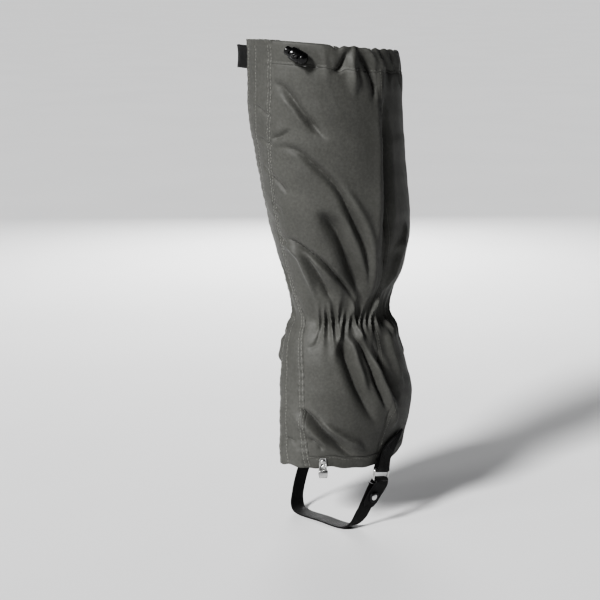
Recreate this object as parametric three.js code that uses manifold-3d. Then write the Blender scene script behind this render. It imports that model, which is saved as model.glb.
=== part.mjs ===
// One knee-high walking gaiter for a left leg, in millimetres.
// +Z runs up the leg, -Y points to the toe, +X to the outer side of the leg.
// The origin is the middle of the lower opening, in the plane of the bottom hem.
import * as THREE from "three";
import { mergeVertices } from "three/addons/utils/BufferGeometryUtils.js";
import Module from "manifold-3d";

const wasm = await Module();
wasm.setup();

// ---- Driving dimensions ----
const RIM_Z = 432; // height of the rim at the middle of the leg
const RIM_RISE = 0.11; // the rim climbs towards the shin by this much per millimetre
const CASING_H = 23; // depth of the drawcord casing below the rim
const CASING_T = 5.6; // thickness of the casing over the drawcord
const CLOTH = 1.2; // thickness of a sewn panel
const GAP = 0.35; // room between pieces that touch
const HEM_H = 12; // depth of the bottom hem
const HEM_T = 2.6;
const HEM_DROP = 7; // the strap pulls the hem down by this much at both sides
const ANKLE_Z = 150; // middle of the gathered ankle
const ELASTIC_H = 25;
const TAPE_W = 25; // width of the hook and loop tapes
const TAPE_T = 1.0;
const FLAP_W = 38; // front flap from its root to its free edge
const FLAP_SPLIT_Z = 330; // the flap peels above this height
const FLAP_STANDOFF = 7; // the stiff free corner stands this far off the leg
const TAB_RISE = 0.75; // the pull tab leaves the leg by this much per millimetre
const UNDERLAP = CLOTH + 2 * TAPE_T + 5 * GAP; // the inner layer sits this far inside the flap
const CORD_D = 2.4;
const LOCK_ANGLE = 29; // place of the cord lock round the rim, in degrees from the shin
const LOCK_DROP = 12.5; // below the rim
const LOCK_TILT = 27; // the lock's axis points down by this many degrees
const LOCK_R = 6.5;
const LOCK_STANDOFF = 1.0;
const PLUNGER_R = 4.4;
const STRAP_W = 18;
const STRAP_T = 2.0;
const TIP_T = 1.7; // thinned loose end of the strap
const TAB_T = 1.5; // webbing of the tab that holds the buckle ring
const SOLE_Z = -71; // the strap's upper face under the boot
const RING_WIRE = 2.6;
const LOOSE = 1; // webbing stands this far off a bar it turns round
const RING_H = 15; // over both bars
const RING_W = 23.5; // over both sides
const RING_LEAN = 12; // the ring's top leans towards the heel by this many degrees
const RING_MIDDLE = new THREE.Vector3(57.4, 3.5, -16.5);

// ---- The shape of the leg: height, centre's y, half width, half depth ----
const SECTIONS = [
  [-10, 0, 53, 79],
  [0, 0, 53.5, 79.5],
  [31, 5, 57.5, 81.5],
  [63, 8.5, 61, 81],
  [95, 4.5, 58.5, 75],
  [116, 1.5, 55, 69.5],
  [135, 0.5, 50, 63.5],
  [150, 0, 42, 55],
  [165, 1, 43.5, 57.5],
  [190, 6, 52.5, 68],
  [212, 5, 59, 74],
  [240, 1.5, 66, 79],
  [275, -4.5, 70, 81],
  [320, -12, 71, 80.5],
  [372, -17.5, 71, 80],
  [432, -22, 69, 78],
  [450, -24, 68.5, 77.5],
];
// Height and x of the line where the front flap is sewn to the outer panel.
const PLACKET = [
  [-10, 30],
  [0, 27.5],
  [25, 22],
  [60, 17.5],
  [102, 14],
  [141, 5],
  [165, -3],
  [200, -8],
  [250, -7.5],
  [300, -5.5],
  [330, -3.5],
  [450, 7],
];
const LEVELS = [35, 63, 90, 112, 126, 138, 150, 162, 176, 193, 212, 236, 265, 300, 350];

const rad = (degrees) => (degrees * Math.PI) / 180;
const V = (x, y, z) => new THREE.Vector3(x, y, z);
const lerp = (a, b, t) => a + (b - a) * t;
const smooth = (t) => t * t * (3 - 2 * t);
const share = (x, from, to) => Math.min(1, Math.max(0, (x - from) / (to - from)));

// Smooth curve through a table of keys, read at x; column 0 holds the keys' x.
function curveAt(table, column, x) {
  const last = table.length - 2;
  let i = 0;
  while (i < last && x > table[i + 1][0]) i += 1;
  const slope = (k) => {
    const a = table[Math.max(0, k - 1)];
    const b = table[Math.min(table.length - 1, k + 1)];
    return (b[column] - a[column]) / (b[0] - a[0]);
  };
  const [p, q] = [table[i], table[i + 1]];
  const h = q[0] - p[0];
  const t = (x - p[0]) / h;
  const [t2, t3] = [t * t, t * t * t];
  return (
    (2 * t3 - 3 * t2 + 1) * p[column] +
    (t3 - 2 * t2 + t) * h * slope(i) +
    (3 * t2 - 2 * t3) * q[column] +
    (t3 - t2) * h * slope(i + 1)
  );
}

const placketX = (z) => curveAt(PLACKET, 1, z);

// Angle round the leg, from the shin towards the outer side, where the surface has this x.
const angleAtX = (x, z) => Math.asin(x / curveAt(SECTIONS, 2, z));

// Outward direction of the surface, level with the ground.
function normalAt(angle, z) {
  const rx = curveAt(SECTIONS, 2, z);
  const ry = curveAt(SECTIONS, 3, z);
  return V(Math.sin(angle) * ry, -Math.cos(angle) * rx, 0).normalize();
}

// A point on the gaiter's outer surface, moved outwards by offset.
function onLeg(angle, z, offset = 0) {
  const point = V(
    curveAt(SECTIONS, 2, z) * Math.sin(angle),
    curveAt(SECTIONS, 1, z) - curveAt(SECTIONS, 3, z) * Math.cos(angle),
    z,
  );
  return point.addScaledVector(normalAt(angle, z), offset);
}

// The surface's true outward direction, with the lean of the leg.
function leanNormal(angle, z) {
  const round = onLeg(angle + 0.01, z).sub(onLeg(angle - 0.01, z));
  const rise = onLeg(angle, z + 1).sub(onLeg(angle, z - 1));
  return round.cross(rise).normalize();
}

// Height of the rim at an angle round the leg.
const rimAt = (angle) => RIM_Z + RIM_RISE * curveAt(SECTIONS, 3, RIM_Z) * Math.cos(angle);

// Height of the hem's lower edge: the strap pulls it down at both sides.
const hemAt = (angle) => -HEM_DROP * Math.exp(-(((Math.abs(Math.PI - (angle % FULL)) - rad(87)) / 0.5) ** 2));

// The inner layer of the closure dips inwards on its way under the flap.
const FULL = 2 * Math.PI;
const dip = (angle) => -UNDERLAP * smooth(share(angle, FULL - rad(82), FULL - rad(46)));

// ---- Solids ----

// One closed mesh from points and triangles, turned so that its faces point out.
function closed(points, faces) {
  let volume = 0;
  for (const [a, b, c] of faces) {
    volume += points[a].dot(points[b].clone().cross(points[c]));
  }
  const index = faces.flatMap(([a, b, c]) => (volume < 0 ? [a, c, b] : [a, b, c]));
  const geometry = new THREE.BufferGeometry();
  geometry.setAttribute(
    "position",
    new THREE.Float32BufferAttribute(points.flatMap((p) => [p.x, p.y, p.z]), 3),
  );
  geometry.setIndex(index);
  geometry.computeVertexNormals();
  return geometry;
}

// A layer of cloth: at(u, v, offset) gives a point, and offset runs from low to high.
function layer(at, us, vs, low, high) {
  const points = [];
  const faces = [];
  const [columns, rows] = [us.length, vs.length];
  for (const offset of [low, high]) {
    for (const v of vs) {
      for (const u of us) points.push(at(u, v, offset));
    }
  }
  const id = (side, row, column) => (side * rows + row) * columns + column;
  const quad = (a, b, c, d) => faces.push([a, b, c], [a, c, d]);
  for (let r = 0; r + 1 < rows; r += 1) {
    for (let c = 0; c + 1 < columns; c += 1) {
      quad(id(1, r, c), id(1, r, c + 1), id(1, r + 1, c + 1), id(1, r + 1, c));
      quad(id(0, r, c), id(0, r + 1, c), id(0, r + 1, c + 1), id(0, r, c + 1));
    }
  }
  for (let c = 0; c + 1 < columns; c += 1) {
    quad(id(0, 0, c), id(0, 0, c + 1), id(1, 0, c + 1), id(1, 0, c));
    quad(id(1, rows - 1, c), id(1, rows - 1, c + 1), id(0, rows - 1, c + 1), id(0, rows - 1, c));
  }
  for (let r = 0; r + 1 < rows; r += 1) {
    quad(id(1, r, 0), id(1, r + 1, 0), id(0, r + 1, 0), id(0, r, 0));
    quad(id(0, r, columns - 1), id(0, r + 1, columns - 1), id(1, r + 1, columns - 1), id(1, r, columns - 1));
  }
  return closed(points, faces);
}

// Evenly spaced numbers from a to b, in n steps.
const steps = (a, b, n) => Array.from({ length: n + 1 }, (_, i) => lerp(a, b, i / n));

function toSolid(geometry) {
  const bare = geometry.clone();
  bare.deleteAttribute("normal");
  bare.deleteAttribute("uv");
  const merged = mergeVertices(bare, 1e-4);
  return new wasm.Manifold(
    new wasm.Mesh({
      numProp: 3,
      vertProperties: new Float32Array(merged.attributes.position.array),
      triVerts: new Uint32Array(merged.index.array),
    }),
  );
}

function fromSolid(solid) {
  const { vertProperties, triVerts } = solid.getMesh();
  const geometry = new THREE.BufferGeometry();
  geometry.setAttribute("position", new THREE.BufferAttribute(vertProperties, 3));
  geometry.setIndex(new THREE.BufferAttribute(triVerts, 1));
  geometry.computeVertexNormals();
  return geometry;
}

function cut(geometry, ...tools) {
  const solid = tools.reduce((left, tool) => left.subtract(toSolid(tool)), toSolid(geometry));
  return fromSolid(solid);
}

// A turned piece about the local Y axis; points are [radius, y].
function turned(points, sides = 20) {
  const profile = points.map(([r, y]) => new THREE.Vector2(r, y));
  return new THREE.LatheGeometry(profile, sides);
}

// A round bar along a curve, with its rings spaced as the curve's own points are.
function bar(curve, diameter, sides, rings, isLoop = false) {
  const outline = new THREE.Shape(
    Array.from({ length: sides }, (_, i) => {
      const a = (i / sides) * FULL;
      return new THREE.Vector2((Math.cos(a) * diameter) / 2, (Math.sin(a) * diameter) / 2);
    }),
  );
  curve.getPointAt = curve.getPoint;
  curve.getTangentAt = curve.getTangent;
  curve.closed = isLoop;
  return new THREE.ExtrudeGeometry(outline, { steps: rings, extrudePath: curve });
}

// An upright slot through a piece along local Z, rounded at its two Y ends.
function slotTool(width, low, high, depth) {
  const r = width / 2;
  const outline = new THREE.Shape();
  outline.absarc(0, high - r, r, 0, Math.PI);
  outline.absarc(0, low + r, r, Math.PI, FULL);
  const tool = new THREE.ExtrudeGeometry(outline, { depth, bevelEnabled: false, curveSegments: 6 });
  return tool.translate(0, 0, -depth / 2);
}

const FABRIC = { color: 0x5f5f5b, roughness: 0.72, metalness: 0 };
const BLACK_WEB = { color: 0x0d0d0e, roughness: 0.7, metalness: 0 };
const BLACK_PLASTIC = { color: 0x09090a, roughness: 0.3, metalness: 0 };
const STEEL = { color: 0xb9b9b8, roughness: 0.28, metalness: 1 };
const DARK_METAL = { color: 0x2a2a2b, roughness: 0.35, metalness: 1 };
const TAPE = { color: 0x17181a, roughness: 0.95, metalness: 0 };

const gaiter = new THREE.Group();

function add(name, geometry, look, matrix) {
  const mesh = new THREE.Mesh(geometry, new THREE.MeshStandardMaterial(look));
  mesh.name = name;
  if (matrix) matrix.decompose(mesh.position, mesh.quaternion, mesh.scale);
  gaiter.add(mesh);
}

// ---- Fabric panels ----

// The panel's row heights from the hem to the casing, at one angle.
const rowsAt = (angle) => [hemAt(angle) + HEM_H + GAP, ...LEVELS, rimAt(angle) - CASING_H - GAP];
const heightAt = (row, angle) => rowsAt(angle)[row];
const PANEL_ROWS = rowsAt(0).map((_, row) => row);

function addPanels() {
  const seam = rad(0.25);
  const front = (u, v, offset) => {
    const z = heightAt(v, rad(45));
    const root = angleAtX(placketX(z) + GAP, z);
    const angle = lerp(root, rad(90) - seam, u);
    return onLeg(angle, heightAt(v, angle), offset);
  };
  add("front_outer_panel", layer(front, steps(0, 1, 11), PANEL_ROWS, -CLOTH, 0), FABRIC);

  const rear = (angle, v, offset) => onLeg(angle, heightAt(v, angle), offset);
  const rearAngles = steps(rad(90) + seam, rad(270) - seam, 20);
  add("rear_panel", layer(rear, rearAngles, PANEL_ROWS, -CLOTH, 0), FABRIC);

  // From the inner seam to the edge hidden under the flap.
  const inner = (u, v, offset) => {
    const z = heightAt(v, rad(330));
    const edge = FULL + angleAtX(placketX(z) + 4, z);
    const angle = lerp(rad(270) + seam, edge, u);
    return onLeg(angle, heightAt(v, angle), offset + dip(angle));
  };
  add("front_inner_panel", layer(inner, steps(0, 1, 15), PANEL_ROWS, -CLOTH, 0), FABRIC);
}

// A strip inside the panels that covers a side seam.
function addSeamTape(name, middle) {
  const at = (u, v, offset) => onLeg(middle + rad(u), heightAt(v, middle + rad(u)), offset);
  const low = -CLOTH - GAP - 0.8;
  add(name, layer(at, [-5, 0, 5], PANEL_ROWS, low, -CLOTH - GAP), FABRIC);
}

// ---- Front closure ----

// A strip beside the placket line: u is the distance from that line towards the inner side.
const flapOffset = (u, z) => FLAP_STANDOFF * smooth(share(z, 250, 400)) * share(u, 0, FLAP_W) ** 2;
const besidePlacket = (u, z, offset) => onLeg(angleAtX(placketX(z) - u, z), z, offset);
const flapAt = (u, z, offset) => besidePlacket(u, z, offset + flapOffset(u, z));

// The same strip with its upper edge along the rim.
const upToRim = (strip, below) => (u, v, offset) => {
  const top = rimAt(angleAtX(placketX(RIM_Z) - u, RIM_Z)) - below;
  return strip(u, lerp(FLAP_SPLIT_Z + GAP, top, v), offset);
};

const tapeAcross = steps(1, 1 + TAPE_W, 4);
const hookFace = -CLOTH - GAP;

function addFlap() {
  const across = steps(0, FLAP_W, 6);
  const lowerRows = [0, 15, ...LEVELS.slice(0, -2), 300, FLAP_SPLIT_Z - GAP];
  add("front_flap_upper", layer(upToRim(flapAt, 0), across, steps(0, 1, 5), -CLOTH, 0), FABRIC);
  add("front_flap_lower", layer(flapAt, across, lowerRows, -CLOTH, 0), FABRIC);
  add(
    "hook_tape_upper",
    layer(upToRim(flapAt, 6), tapeAcross, steps(0, 1, 5), hookFace - TAPE_T, hookFace),
    TAPE,
  );
  add("hook_tape_lower", layer(flapAt, tapeAcross, lowerRows.slice(1), hookFace - TAPE_T, hookFace), TAPE);
  const loopRows = [16, 22, ...LEVELS.slice(0, -1), 330, 365, 400, rimAt(0) - 10];
  const under = 2 * GAP - UNDERLAP;
  add("loop_tape", layer(besidePlacket, tapeAcross, loopRows, under, under + TAPE_T), TAPE);
}

// The folded webbing tab that the wearer pulls to peel the flap; it stands straight off the leg.
function addPullTab() {
  const [inner, outer, low, height] = [FLAP_W - 9, FLAP_W + 13, 410, 23];
  const at = (u, v, offset) => {
    const z = low + v;
    const beyond = Math.max(0, u - FLAP_W);
    const standoff = flapOffset(Math.min(u, FLAP_W), z) + TAB_RISE * beyond;
    return besidePlacket(u, z, standoff + offset);
  };
  const across = steps(inner, outer, 5);
  add("pull_tab", layer(at, across, steps(0, height, 2), hookFace - 2.2, hookFace), BLACK_WEB);
}

// ---- Rim ----

const casingEnds = [angleAtX(placketX(RIM_Z) + 1, RIM_Z), FULL + angleAtX(placketX(RIM_Z) + 4, RIM_Z)];
const CASING_WALL = 0.95;

// The folded tube of cloth round the rim, open at both ends, with a hole for the cord.
function addCasing() {
  const wall = CASING_WALL;
  const ring = [
    [0, 0], [-CASING_T, 0], [-CASING_T, -CASING_H], [0, -CASING_H],
  ];
  const bore = [
    [-wall, -wall], [wall - CASING_T, -wall], [wall - CASING_T, wall - CASING_H], [-wall, wall - CASING_H],
  ];
  const angles = steps(casingEnds[0], casingEnds[1], 52);
  const points = angles.flatMap((angle) =>
    [...ring, ...bore].map(([offset, drop]) => onLeg(angle, rimAt(angle) + drop, offset + dip(angle))),
  );
  const faces = [];
  const quad = (a, b, c, d) => faces.push([a, b, c], [a, c, d]);
  const last = (angles.length - 1) * 8;
  for (let k = 0; k < 4; k += 1) {
    const next = (k + 1) % 4;
    for (let at = 0; at < last; at += 8) {
      quad(at + k, at + next, at + 8 + next, at + 8 + k);
      quad(at + 4 + k, at + 12 + k, at + 12 + next, at + 4 + next);
    }
    quad(k, 4 + k, 4 + next, next);
    quad(last + k, last + next, last + 4 + next, last + 4 + k);
  }
  const hole = new THREE.CylinderGeometry(4.1, 4.1, 3, 16).rotateX(Math.PI / 2);
  hole.translate(0, STRAND_MIDDLE, 0);
  add("rim_casing", cut(closed(points, faces), hole.applyMatrix4(eyeletFrame)), FABRIC);
}

// Frames at the cord lock. Z points away from the leg, and Y along the lock to its plunger.
const lockAngle = rad(LOCK_ANGLE);
const lockZ = rimAt(lockAngle) - LOCK_DROP;
const lockOut = leanNormal(lockAngle, lockZ);
const lockSide = V(0, 0, 1).cross(lockOut).normalize();
const plungerWay = lockSide
  .clone()
  .multiplyScalar(-Math.cos(rad(LOCK_TILT)))
  .addScaledVector(lockOut.clone().cross(lockSide), Math.sin(rad(LOCK_TILT)));

function frame(y, z, origin) {
  const x = y.clone().cross(z).normalize();
  return new THREE.Matrix4().makeBasis(x, y, z).setPosition(origin);
}
const alongLock = (distance) => onLeg(lockAngle, lockZ).addScaledVector(lockOut, distance);
const lockFrame = frame(plungerWay, lockOut, alongLock(LOCK_R + LOCK_STANDOFF));
const eyeletFrame = frame(plungerWay, lockOut, alongLock(-CASING_WALL / 2));

// Where the two strands of the cord cross the lock, along its axis.
const STRANDS = [2.2, -0.6];
const STRAND_MIDDLE = (STRANDS[0] + STRANDS[1]) / 2;
const SLOT = [-2.15, 3.75];
const PLUNGER_TRAVEL = 3.4;

function addCordLock() {
  const slot = slotTool(CORD_D + 0.7, SLOT[0], SLOT[1], 30);
  const barrel = turned([
    [0, -11.4], [2.6, -11.2], [4.8, -10.1], [6.1, -8.2], [LOCK_R, -5.6], [LOCK_R, 4.6],
    [6.2, 6.4], [5.6, 7.6], [4.75, 7.6], [4.75, -9.2], [0, -9.2],
  ]);
  add("cord_lock_barrel", cut(barrel, slot), BLACK_PLASTIC, lockFrame);

  const plungerSlot = slotTool(CORD_D + 0.7, SLOT[0], SLOT[1] + PLUNGER_TRAVEL, 30);
  const plunger = turned([
    [0, -4], [PLUNGER_R, -4], [PLUNGER_R, 12.2], [3.6, 13.3], [2, 13.7], [0, 13.7],
  ]);
  add("cord_lock_plunger", cut(plunger, plungerSlot), BLACK_PLASTIC, lockFrame);

  const [coilR, turns, low, high] = [3.4, 3, -8.7, -4.5];
  const coil = Array.from({ length: turns * 10 + 1 }, (_, i) => {
    const a = (i / 10) * FULL;
    return V(coilR * Math.cos(a), lerp(low, high, i / (turns * 10)), coilR * Math.sin(a));
  });
  const spring = bar(new THREE.CatmullRomCurve3(coil), 0.6, 6, turns * 12);
  add("cord_lock_spring", spring, STEEL, lockFrame);

  const eyelet = turned([
    [2.95, -1.3], [4.4, -1.3], [4.4, -0.9], [3.6, -0.9], [3.6, 0.85], [4.9, 0.85], [4.9, 1.15], [3.4, 1.5],
    [2.95, 1.1], [2.95, -1.3],
  ]);
  add("cord_eyelet", eyelet.rotateX(Math.PI / 2).translate(0, STRAND_MIDDLE, 0), BLACK_PLASTIC, eyeletFrame);
}

// One cord: anchored at the front of the casing, out through the lock and back, round the leg.
function addDrawcord() {
  const depth = -CASING_T / 2;
  const inCasing = (angle) => onLeg(angle, rimAt(angle) - LOCK_DROP, depth + dip(angle));
  const nearLock = (along, across, out) => V(across, along, out).applyMatrix4(eyeletFrame);
  const [left, right] = STRANDS;
  // Under the eyelet: to the side of a strand, and this deep.
  const under = (strand, side, deep) => nearLock(strand, 0, -deep).addScaledVector(lockSide, side);
  const route = [
    ...steps(casingEnds[0] + rad(0.5), lockAngle - rad(7), 3).map(inCasing),
    under(left, -3.4, 2.7), under(left, -1.9, 2.72), under(left, -0.85, 2.45), under(left, -0.3, 1.9),
    nearLock(left, 0, -0.9), nearLock(left, 0, 8), nearLock(left, 0, 18.6), nearLock(left + 0.6, -0.2, 20.4),
    nearLock(left + 0.4, -0.5, 22.2), nearLock(STRAND_MIDDLE, -0.7, 23.6), nearLock(right - 0.4, -0.5, 22.2),
    nearLock(right - 0.6, -0.2, 20.4), nearLock(right, 0, 18.6), nearLock(right, 0, 8), nearLock(right, 0, -0.9),
    under(right, 0.3, 1.9), under(right, 0.85, 2.45), under(right, 1.9, 2.72), under(right, 3.4, 2.7),
    ...steps(lockAngle + rad(6), casingEnds[1] - rad(0.5), 24).map(inCasing),
  ];
  const curve = new THREE.CatmullRomCurve3(route, false, "centripetal");
  add("drawcord", bar(curve, CORD_D, 8, 2 * (route.length - 1)), BLACK_WEB);
}

// ---- Ankle and hem ----

function addRings() {
  const back = steps(rad(22), rad(330), 26);
  const at = (angle, z, offset) => onLeg(angle, z, offset + dip(angle));
  const tapeRoom = -CLOTH - GAP - 0.8 - GAP;
  const rows = [-ELASTIC_H / 2, 0, ELASTIC_H / 2].map((rise) => ANKLE_Z + rise);
  add("ankle_elastic", layer(at, back, rows, tapeRoom - 1.2, tapeRoom), BLACK_WEB);
  const cover = tapeRoom - 1.2 - GAP;
  const coverRows = [rows[0] - 4, ...rows, rows[2] + 4];
  add("elastic_cover", layer(at, back, coverRows, cover - 0.9, cover), FABRIC);

  const hem = (u, z, offset) => {
    const start = angleAtX(placketX(z) + GAP, z);
    const end = FULL + angleAtX(placketX(z) + 4, z);
    const angle = lerp(start, end, u);
    return onLeg(angle, z + hemAt(angle), offset + dip(angle));
  };
  const hole = new THREE.CylinderGeometry(1.7, 1.7, 10, 12).rotateX(Math.PI / 2);
  const hemStrip = layer(hem, steps(0, 1, 48), [0, HEM_H], -HEM_T, 0);
  add("bottom_hem", cut(hemStrip, hole.applyMatrix4(hookFrame)), FABRIC);
}

// ---- Lace hook ----

// A bent steel strip riveted to the hem. Local Z points away from the leg, local Y down the plate.
const hookAngle = rad(40);
const hookFrame = frame(V(0, 0, -1), normalAt(hookAngle, 6.7), onLeg(hookAngle, 6.7));

function addLaceHook() {
  const [near, thick, gap] = [0.35, 1.1, 6.2];
  const side = new THREE.Shape();
  // The side view of the strip: down the plate, round the bend and up again in front.
  const bend = gap / 2 + thick;
  const bottom = 12;
  side.moveTo(near, -3.8);
  side.lineTo(near, bottom);
  side.absarc(near + bend, bottom, bend, Math.PI, 0, true);
  side.lineTo(near + 2 * bend, 7.5);
  side.lineTo(near + 2 * bend - thick, 7.5);
  side.lineTo(near + 2 * bend - thick, bottom);
  side.absarc(near + bend, bottom, bend - thick, 0, Math.PI, false);
  side.lineTo(near + thick, -3.8);
  const width = 9;
  const strip = new THREE.ExtrudeGeometry(side, { depth: width, bevelEnabled: false, curveSegments: 8 });
  // The drawing's x is local Z and its y is local Y.
  const turn = new THREE.Matrix4().makeBasis(V(0, 0, 1), V(0, 1, 0), V(-1, 0, 0));
  strip.applyMatrix4(turn).translate(width / 2, 0, 0);
  const hole = new THREE.CylinderGeometry(1.7, 1.7, 20, 14).rotateX(Math.PI / 2);
  hole.translate(0, 0, -7);
  add("lace_hook", cut(strip, hole), STEEL, hookFrame);

  const rivet = turned([
    [0, -4.2], [2.6, -4.2], [2.6, -3.3], [1.3, -3.3], [1.3, 1.8], [2.9, 1.8], [2.3, 2.7], [0, 3],
  ], 16);
  add("hook_rivet", rivet.rotateX(Math.PI / 2), STEEL, hookFrame);
}

// ---- Instep strap and buckle ----

const up = V(0, Math.sin(rad(RING_LEAN)), Math.cos(rad(RING_LEAN)));
const along = V(0, Math.cos(rad(RING_LEAN)), -Math.sin(rad(RING_LEAN)));
const out = V(1, 0, 0);
const BAR_GAP = (RING_H - RING_WIRE) / 2;
const topBar = RING_MIDDLE.clone().addScaledVector(up, BAR_GAP);
const lowBar = RING_MIDDLE.clone().addScaledVector(up, -BAR_GAP);

// A flat band along a path. Each key is [point, outward direction, half width].
function bandPath(keys) {
  const path = new THREE.CatmullRomCurve3(keys.map(([point]) => point), false, "centripetal");
  const facing = new THREE.CatmullRomCurve3(keys.map(([, direction]) => direction));
  const wide = new THREE.CatmullRomCurve3(keys.map(([, , half]) => V(half, 0, 0)));
  return (t) => {
    const tangent = path.getTangent(t);
    const across = facing.getPoint(t).cross(tangent).normalize();
    const normal = tangent.clone().cross(across).normalize();
    return { point: path.getPoint(t), across, tangent, normal, half: wide.getPoint(t).x };
  };
}

function band(keys, rows, thickness) {
  const pathAt = bandPath(keys);
  const at = (u, t, offset) => {
    const { point, across, normal, half } = pathAt(t);
    return point.addScaledVector(across, u * half).addScaledVector(normal, offset);
  };
  return layer(at, [-1, 1], steps(0, 1, rows), -thickness / 2, thickness / 2);
}

// Keys round a bar, from one angle to another; 0 faces out and 90 faces up.
function roundBar(middle, radius, from, to, half) {
  return steps(from, to, 6).map((degrees) => {
    const facing = out.clone().multiplyScalar(Math.cos(rad(degrees)));
    facing.addScaledVector(up, Math.sin(rad(degrees)));
    return [middle.clone().addScaledVector(facing, radius), facing, half];
  });
}

// A key on the gaiter's side, at this y and z; side is 1 on the outer side and -1 on the inner.
function onSide(side, y, z, offset, half) {
  const cosine = (curveAt(SECTIONS, 1, z) - y) / curveAt(SECTIONS, 3, z);
  const angle = side * Math.acos(cosine);
  return [onLeg(angle, z, offset), normalAt(angle, z), half];
}

// A key on the side of the boot.
const onBoot = (x, y, z, half) => [V(x, y, z), V(x, 0, (z - SOLE_Z) * 0.12).normalize(), half];

function addStrapTab() {
  const half = STRAP_W / 2;
  const inner = 2 * GAP + TAB_T / 2;
  const outer = inner + TAB_T + GAP;
  const keys = [
    onSide(1, 17.5, 9, inner, half),
    onSide(1, 12, 2.5, inner, half),
    ...roundBar(topBar, (RING_WIRE + TAB_T) / 2 + LOOSE, 180, 360, half),
    onSide(1, 12, 2.5, outer + 0.5, half),
    onSide(1, 18, 9, outer, half),
    onSide(1, 27, 16.5, outer, half * 0.62),
    onSide(1, 38, 25, outer, 1.6),
  ];
  add("outer_strap_tab", band(keys, 36, TAB_T), BLACK_WEB);
}

// The wire ring: a rounded rectangle in the ring's own plane, closed on itself.
function addRing() {
  const [w, h, r] = [(RING_W - RING_WIRE) / 2, BAR_GAP, 3];
  const corner = (x, y, from) =>
    steps(from, from + 90, 4).map((a) => [x + r * Math.cos(rad(a)), y + r * Math.sin(rad(a)), a]);
  const loop = [
    ...corner(w - r, h - r, 0), ...corner(r - w, h - r, 90),
    ...corner(r - w, r - h, 180), ...corner(w - r, r - h, 270),
  ];
  const sides = 8;
  const points = loop.flatMap(([x, y, a]) =>
    Array.from({ length: sides }, (_, i) => {
      const turn = (i / sides) * FULL;
      const reach = (RING_WIRE / 2) * Math.cos(turn);
      return V(x + reach * Math.cos(rad(a)), y + reach * Math.sin(rad(a)), (RING_WIRE / 2) * Math.sin(turn));
    }),
  );
  const faces = [];
  loop.forEach((_, k) => {
    const next = (k + 1) % loop.length;
    for (let i = 0; i < sides; i += 1) {
      const j = (i + 1) % sides;
      faces.push([k * sides + i, next * sides + i, next * sides + j]);
      faces.push([k * sides + i, next * sides + j, k * sides + j]);
    }
  });
  const place = new THREE.Matrix4().makeBasis(along, up, out).setPosition(RING_MIDDLE);
  add("strap_ring", closed(points, faces), STEEL, place);
}

// The strap: from the inner hem, under the instep, up through the ring and down to its snap.
function addStrap() {
  const half = STRAP_W / 2;
  const sewn = GAP + STRAP_T / 2;
  const under = SOLE_Z - STRAP_T / 2;
  const split = [onBoot(50.7, -11.2, -47, half), onBoot(50.9, -10.9, -46.4, half)];
  add(
    "instep_strap",
    band(
      [
        onSide(-1, 22, 21, sewn, half),
        onSide(-1, 16, 8, sewn, half),
        onSide(-1, 8, -6, sewn, half),
        onBoot(-53.4, 3, -20, half),
        onBoot(-52.4, -7, -38, half),
        onBoot(-48.5, -17, -57, half),
        [V(-42.5, -22.5, -68.5), V(-0.75, 0, -0.65), half],
        [V(-34, -25, under), V(-0.1, 0, -1), half],
        [V(0, -26, under), V(0, 0, -1), half],
        [V(34, -25, under), V(0.1, 0, -1), half],
        [V(42.5, -22.5, -68.5), V(0.75, 0, -0.65), half],
        onBoot(48.5, -16, -57, half),
        split[0],
      ],
      46,
      STRAP_T,
    ),
    BLACK_WEB,
  );

  const upper = [split[1], onBoot(52.4, -5.5, -36, half), ...roundBar(lowBar, bight, 180, 0, half)];
  add("buckle_strap", cut(band(upper, 20, STRAP_T), roundTool(STUD_STEM + GAP)), BLACK_WEB);
  const tip = cut(band(tipKeys, 16, TIP_T), roundTool(CAP_STEM + GAP));
  add("strap_tip", tip, BLACK_WEB);
}

// The loose end of the strap, from the lower bar of the ring down over the snap.
const bight = (RING_WIRE + STRAP_T) / 2 + LOOSE;
const bightEnd = lowBar.clone().addScaledVector(out, bight);
const tipKeys = [
  [bightEnd.clone().addScaledVector(up, -GAP), out.clone(), STRAP_W / 2],
  [bightEnd.clone().addScaledVector(up, -2.5), out.clone(), STRAP_W / 2],
  onBoot(58.4, -1.2, -31, STRAP_W / 2),
  onBoot(56.2, -4.6, -37, STRAP_W / 2),
  onBoot(54.6, -8, -43, STRAP_W / 2),
  onBoot(53.1, -10.2, -47, STRAP_W * 0.45),
  onBoot(52.4, -12, -50.3, STRAP_W * 0.27),
];

// The snap's frame lies in the loose end's inner face, with Z away from the boot.
const SNAP_AT = 0.56; // place of the snap along the loose end
const STUD_STEM = 1.1;
const CAP_STEM = 2.7;
const { point: snapPoint, across: snapAcross, normal: snapNormal } = bandPath(tipKeys)(SNAP_AT);
const snapOrigin = snapPoint.clone().addScaledVector(snapNormal, -TIP_T / 2);
const snapFrame = frame(snapNormal.clone().cross(snapAcross), snapNormal, snapOrigin);

function roundTool(radius) {
  return new THREE.CylinderGeometry(radius, radius, 12, 16).rotateX(Math.PI / 2).applyMatrix4(snapFrame);
}

// The cap is on the loose end, and the stud on the strap behind it.
function addSnap() {
  const [top, recess] = [TIP_T + GAP, 1.75];
  const cap = turned([
    [0, 2.1], [recess, 2.1], [recess, 0.1], [CAP_STEM, 0.1], [CAP_STEM, top], [6, top],
    [6, top + 0.4], [4.6, top + 1.3], [2.4, top + 1.8], [0, top + 1.9],
  ]);
  add("snap_cap", cap.rotateX(Math.PI / 2), DARK_METAL, snapFrame);
  const stud = turned([
    [0, -4.8], [2.5, -4.8], [2.5, -4.2], [STUD_STEM, -4.2], [STUD_STEM, -1], [4.2, -1],
    [4.2, -0.35], [1.3, -0.35], [1.3, 1.1], [0.9, 1.5], [0, 1.5],
  ], 16);
  add("snap_stud", stud.rotateX(Math.PI / 2), STEEL, snapFrame);
}

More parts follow.
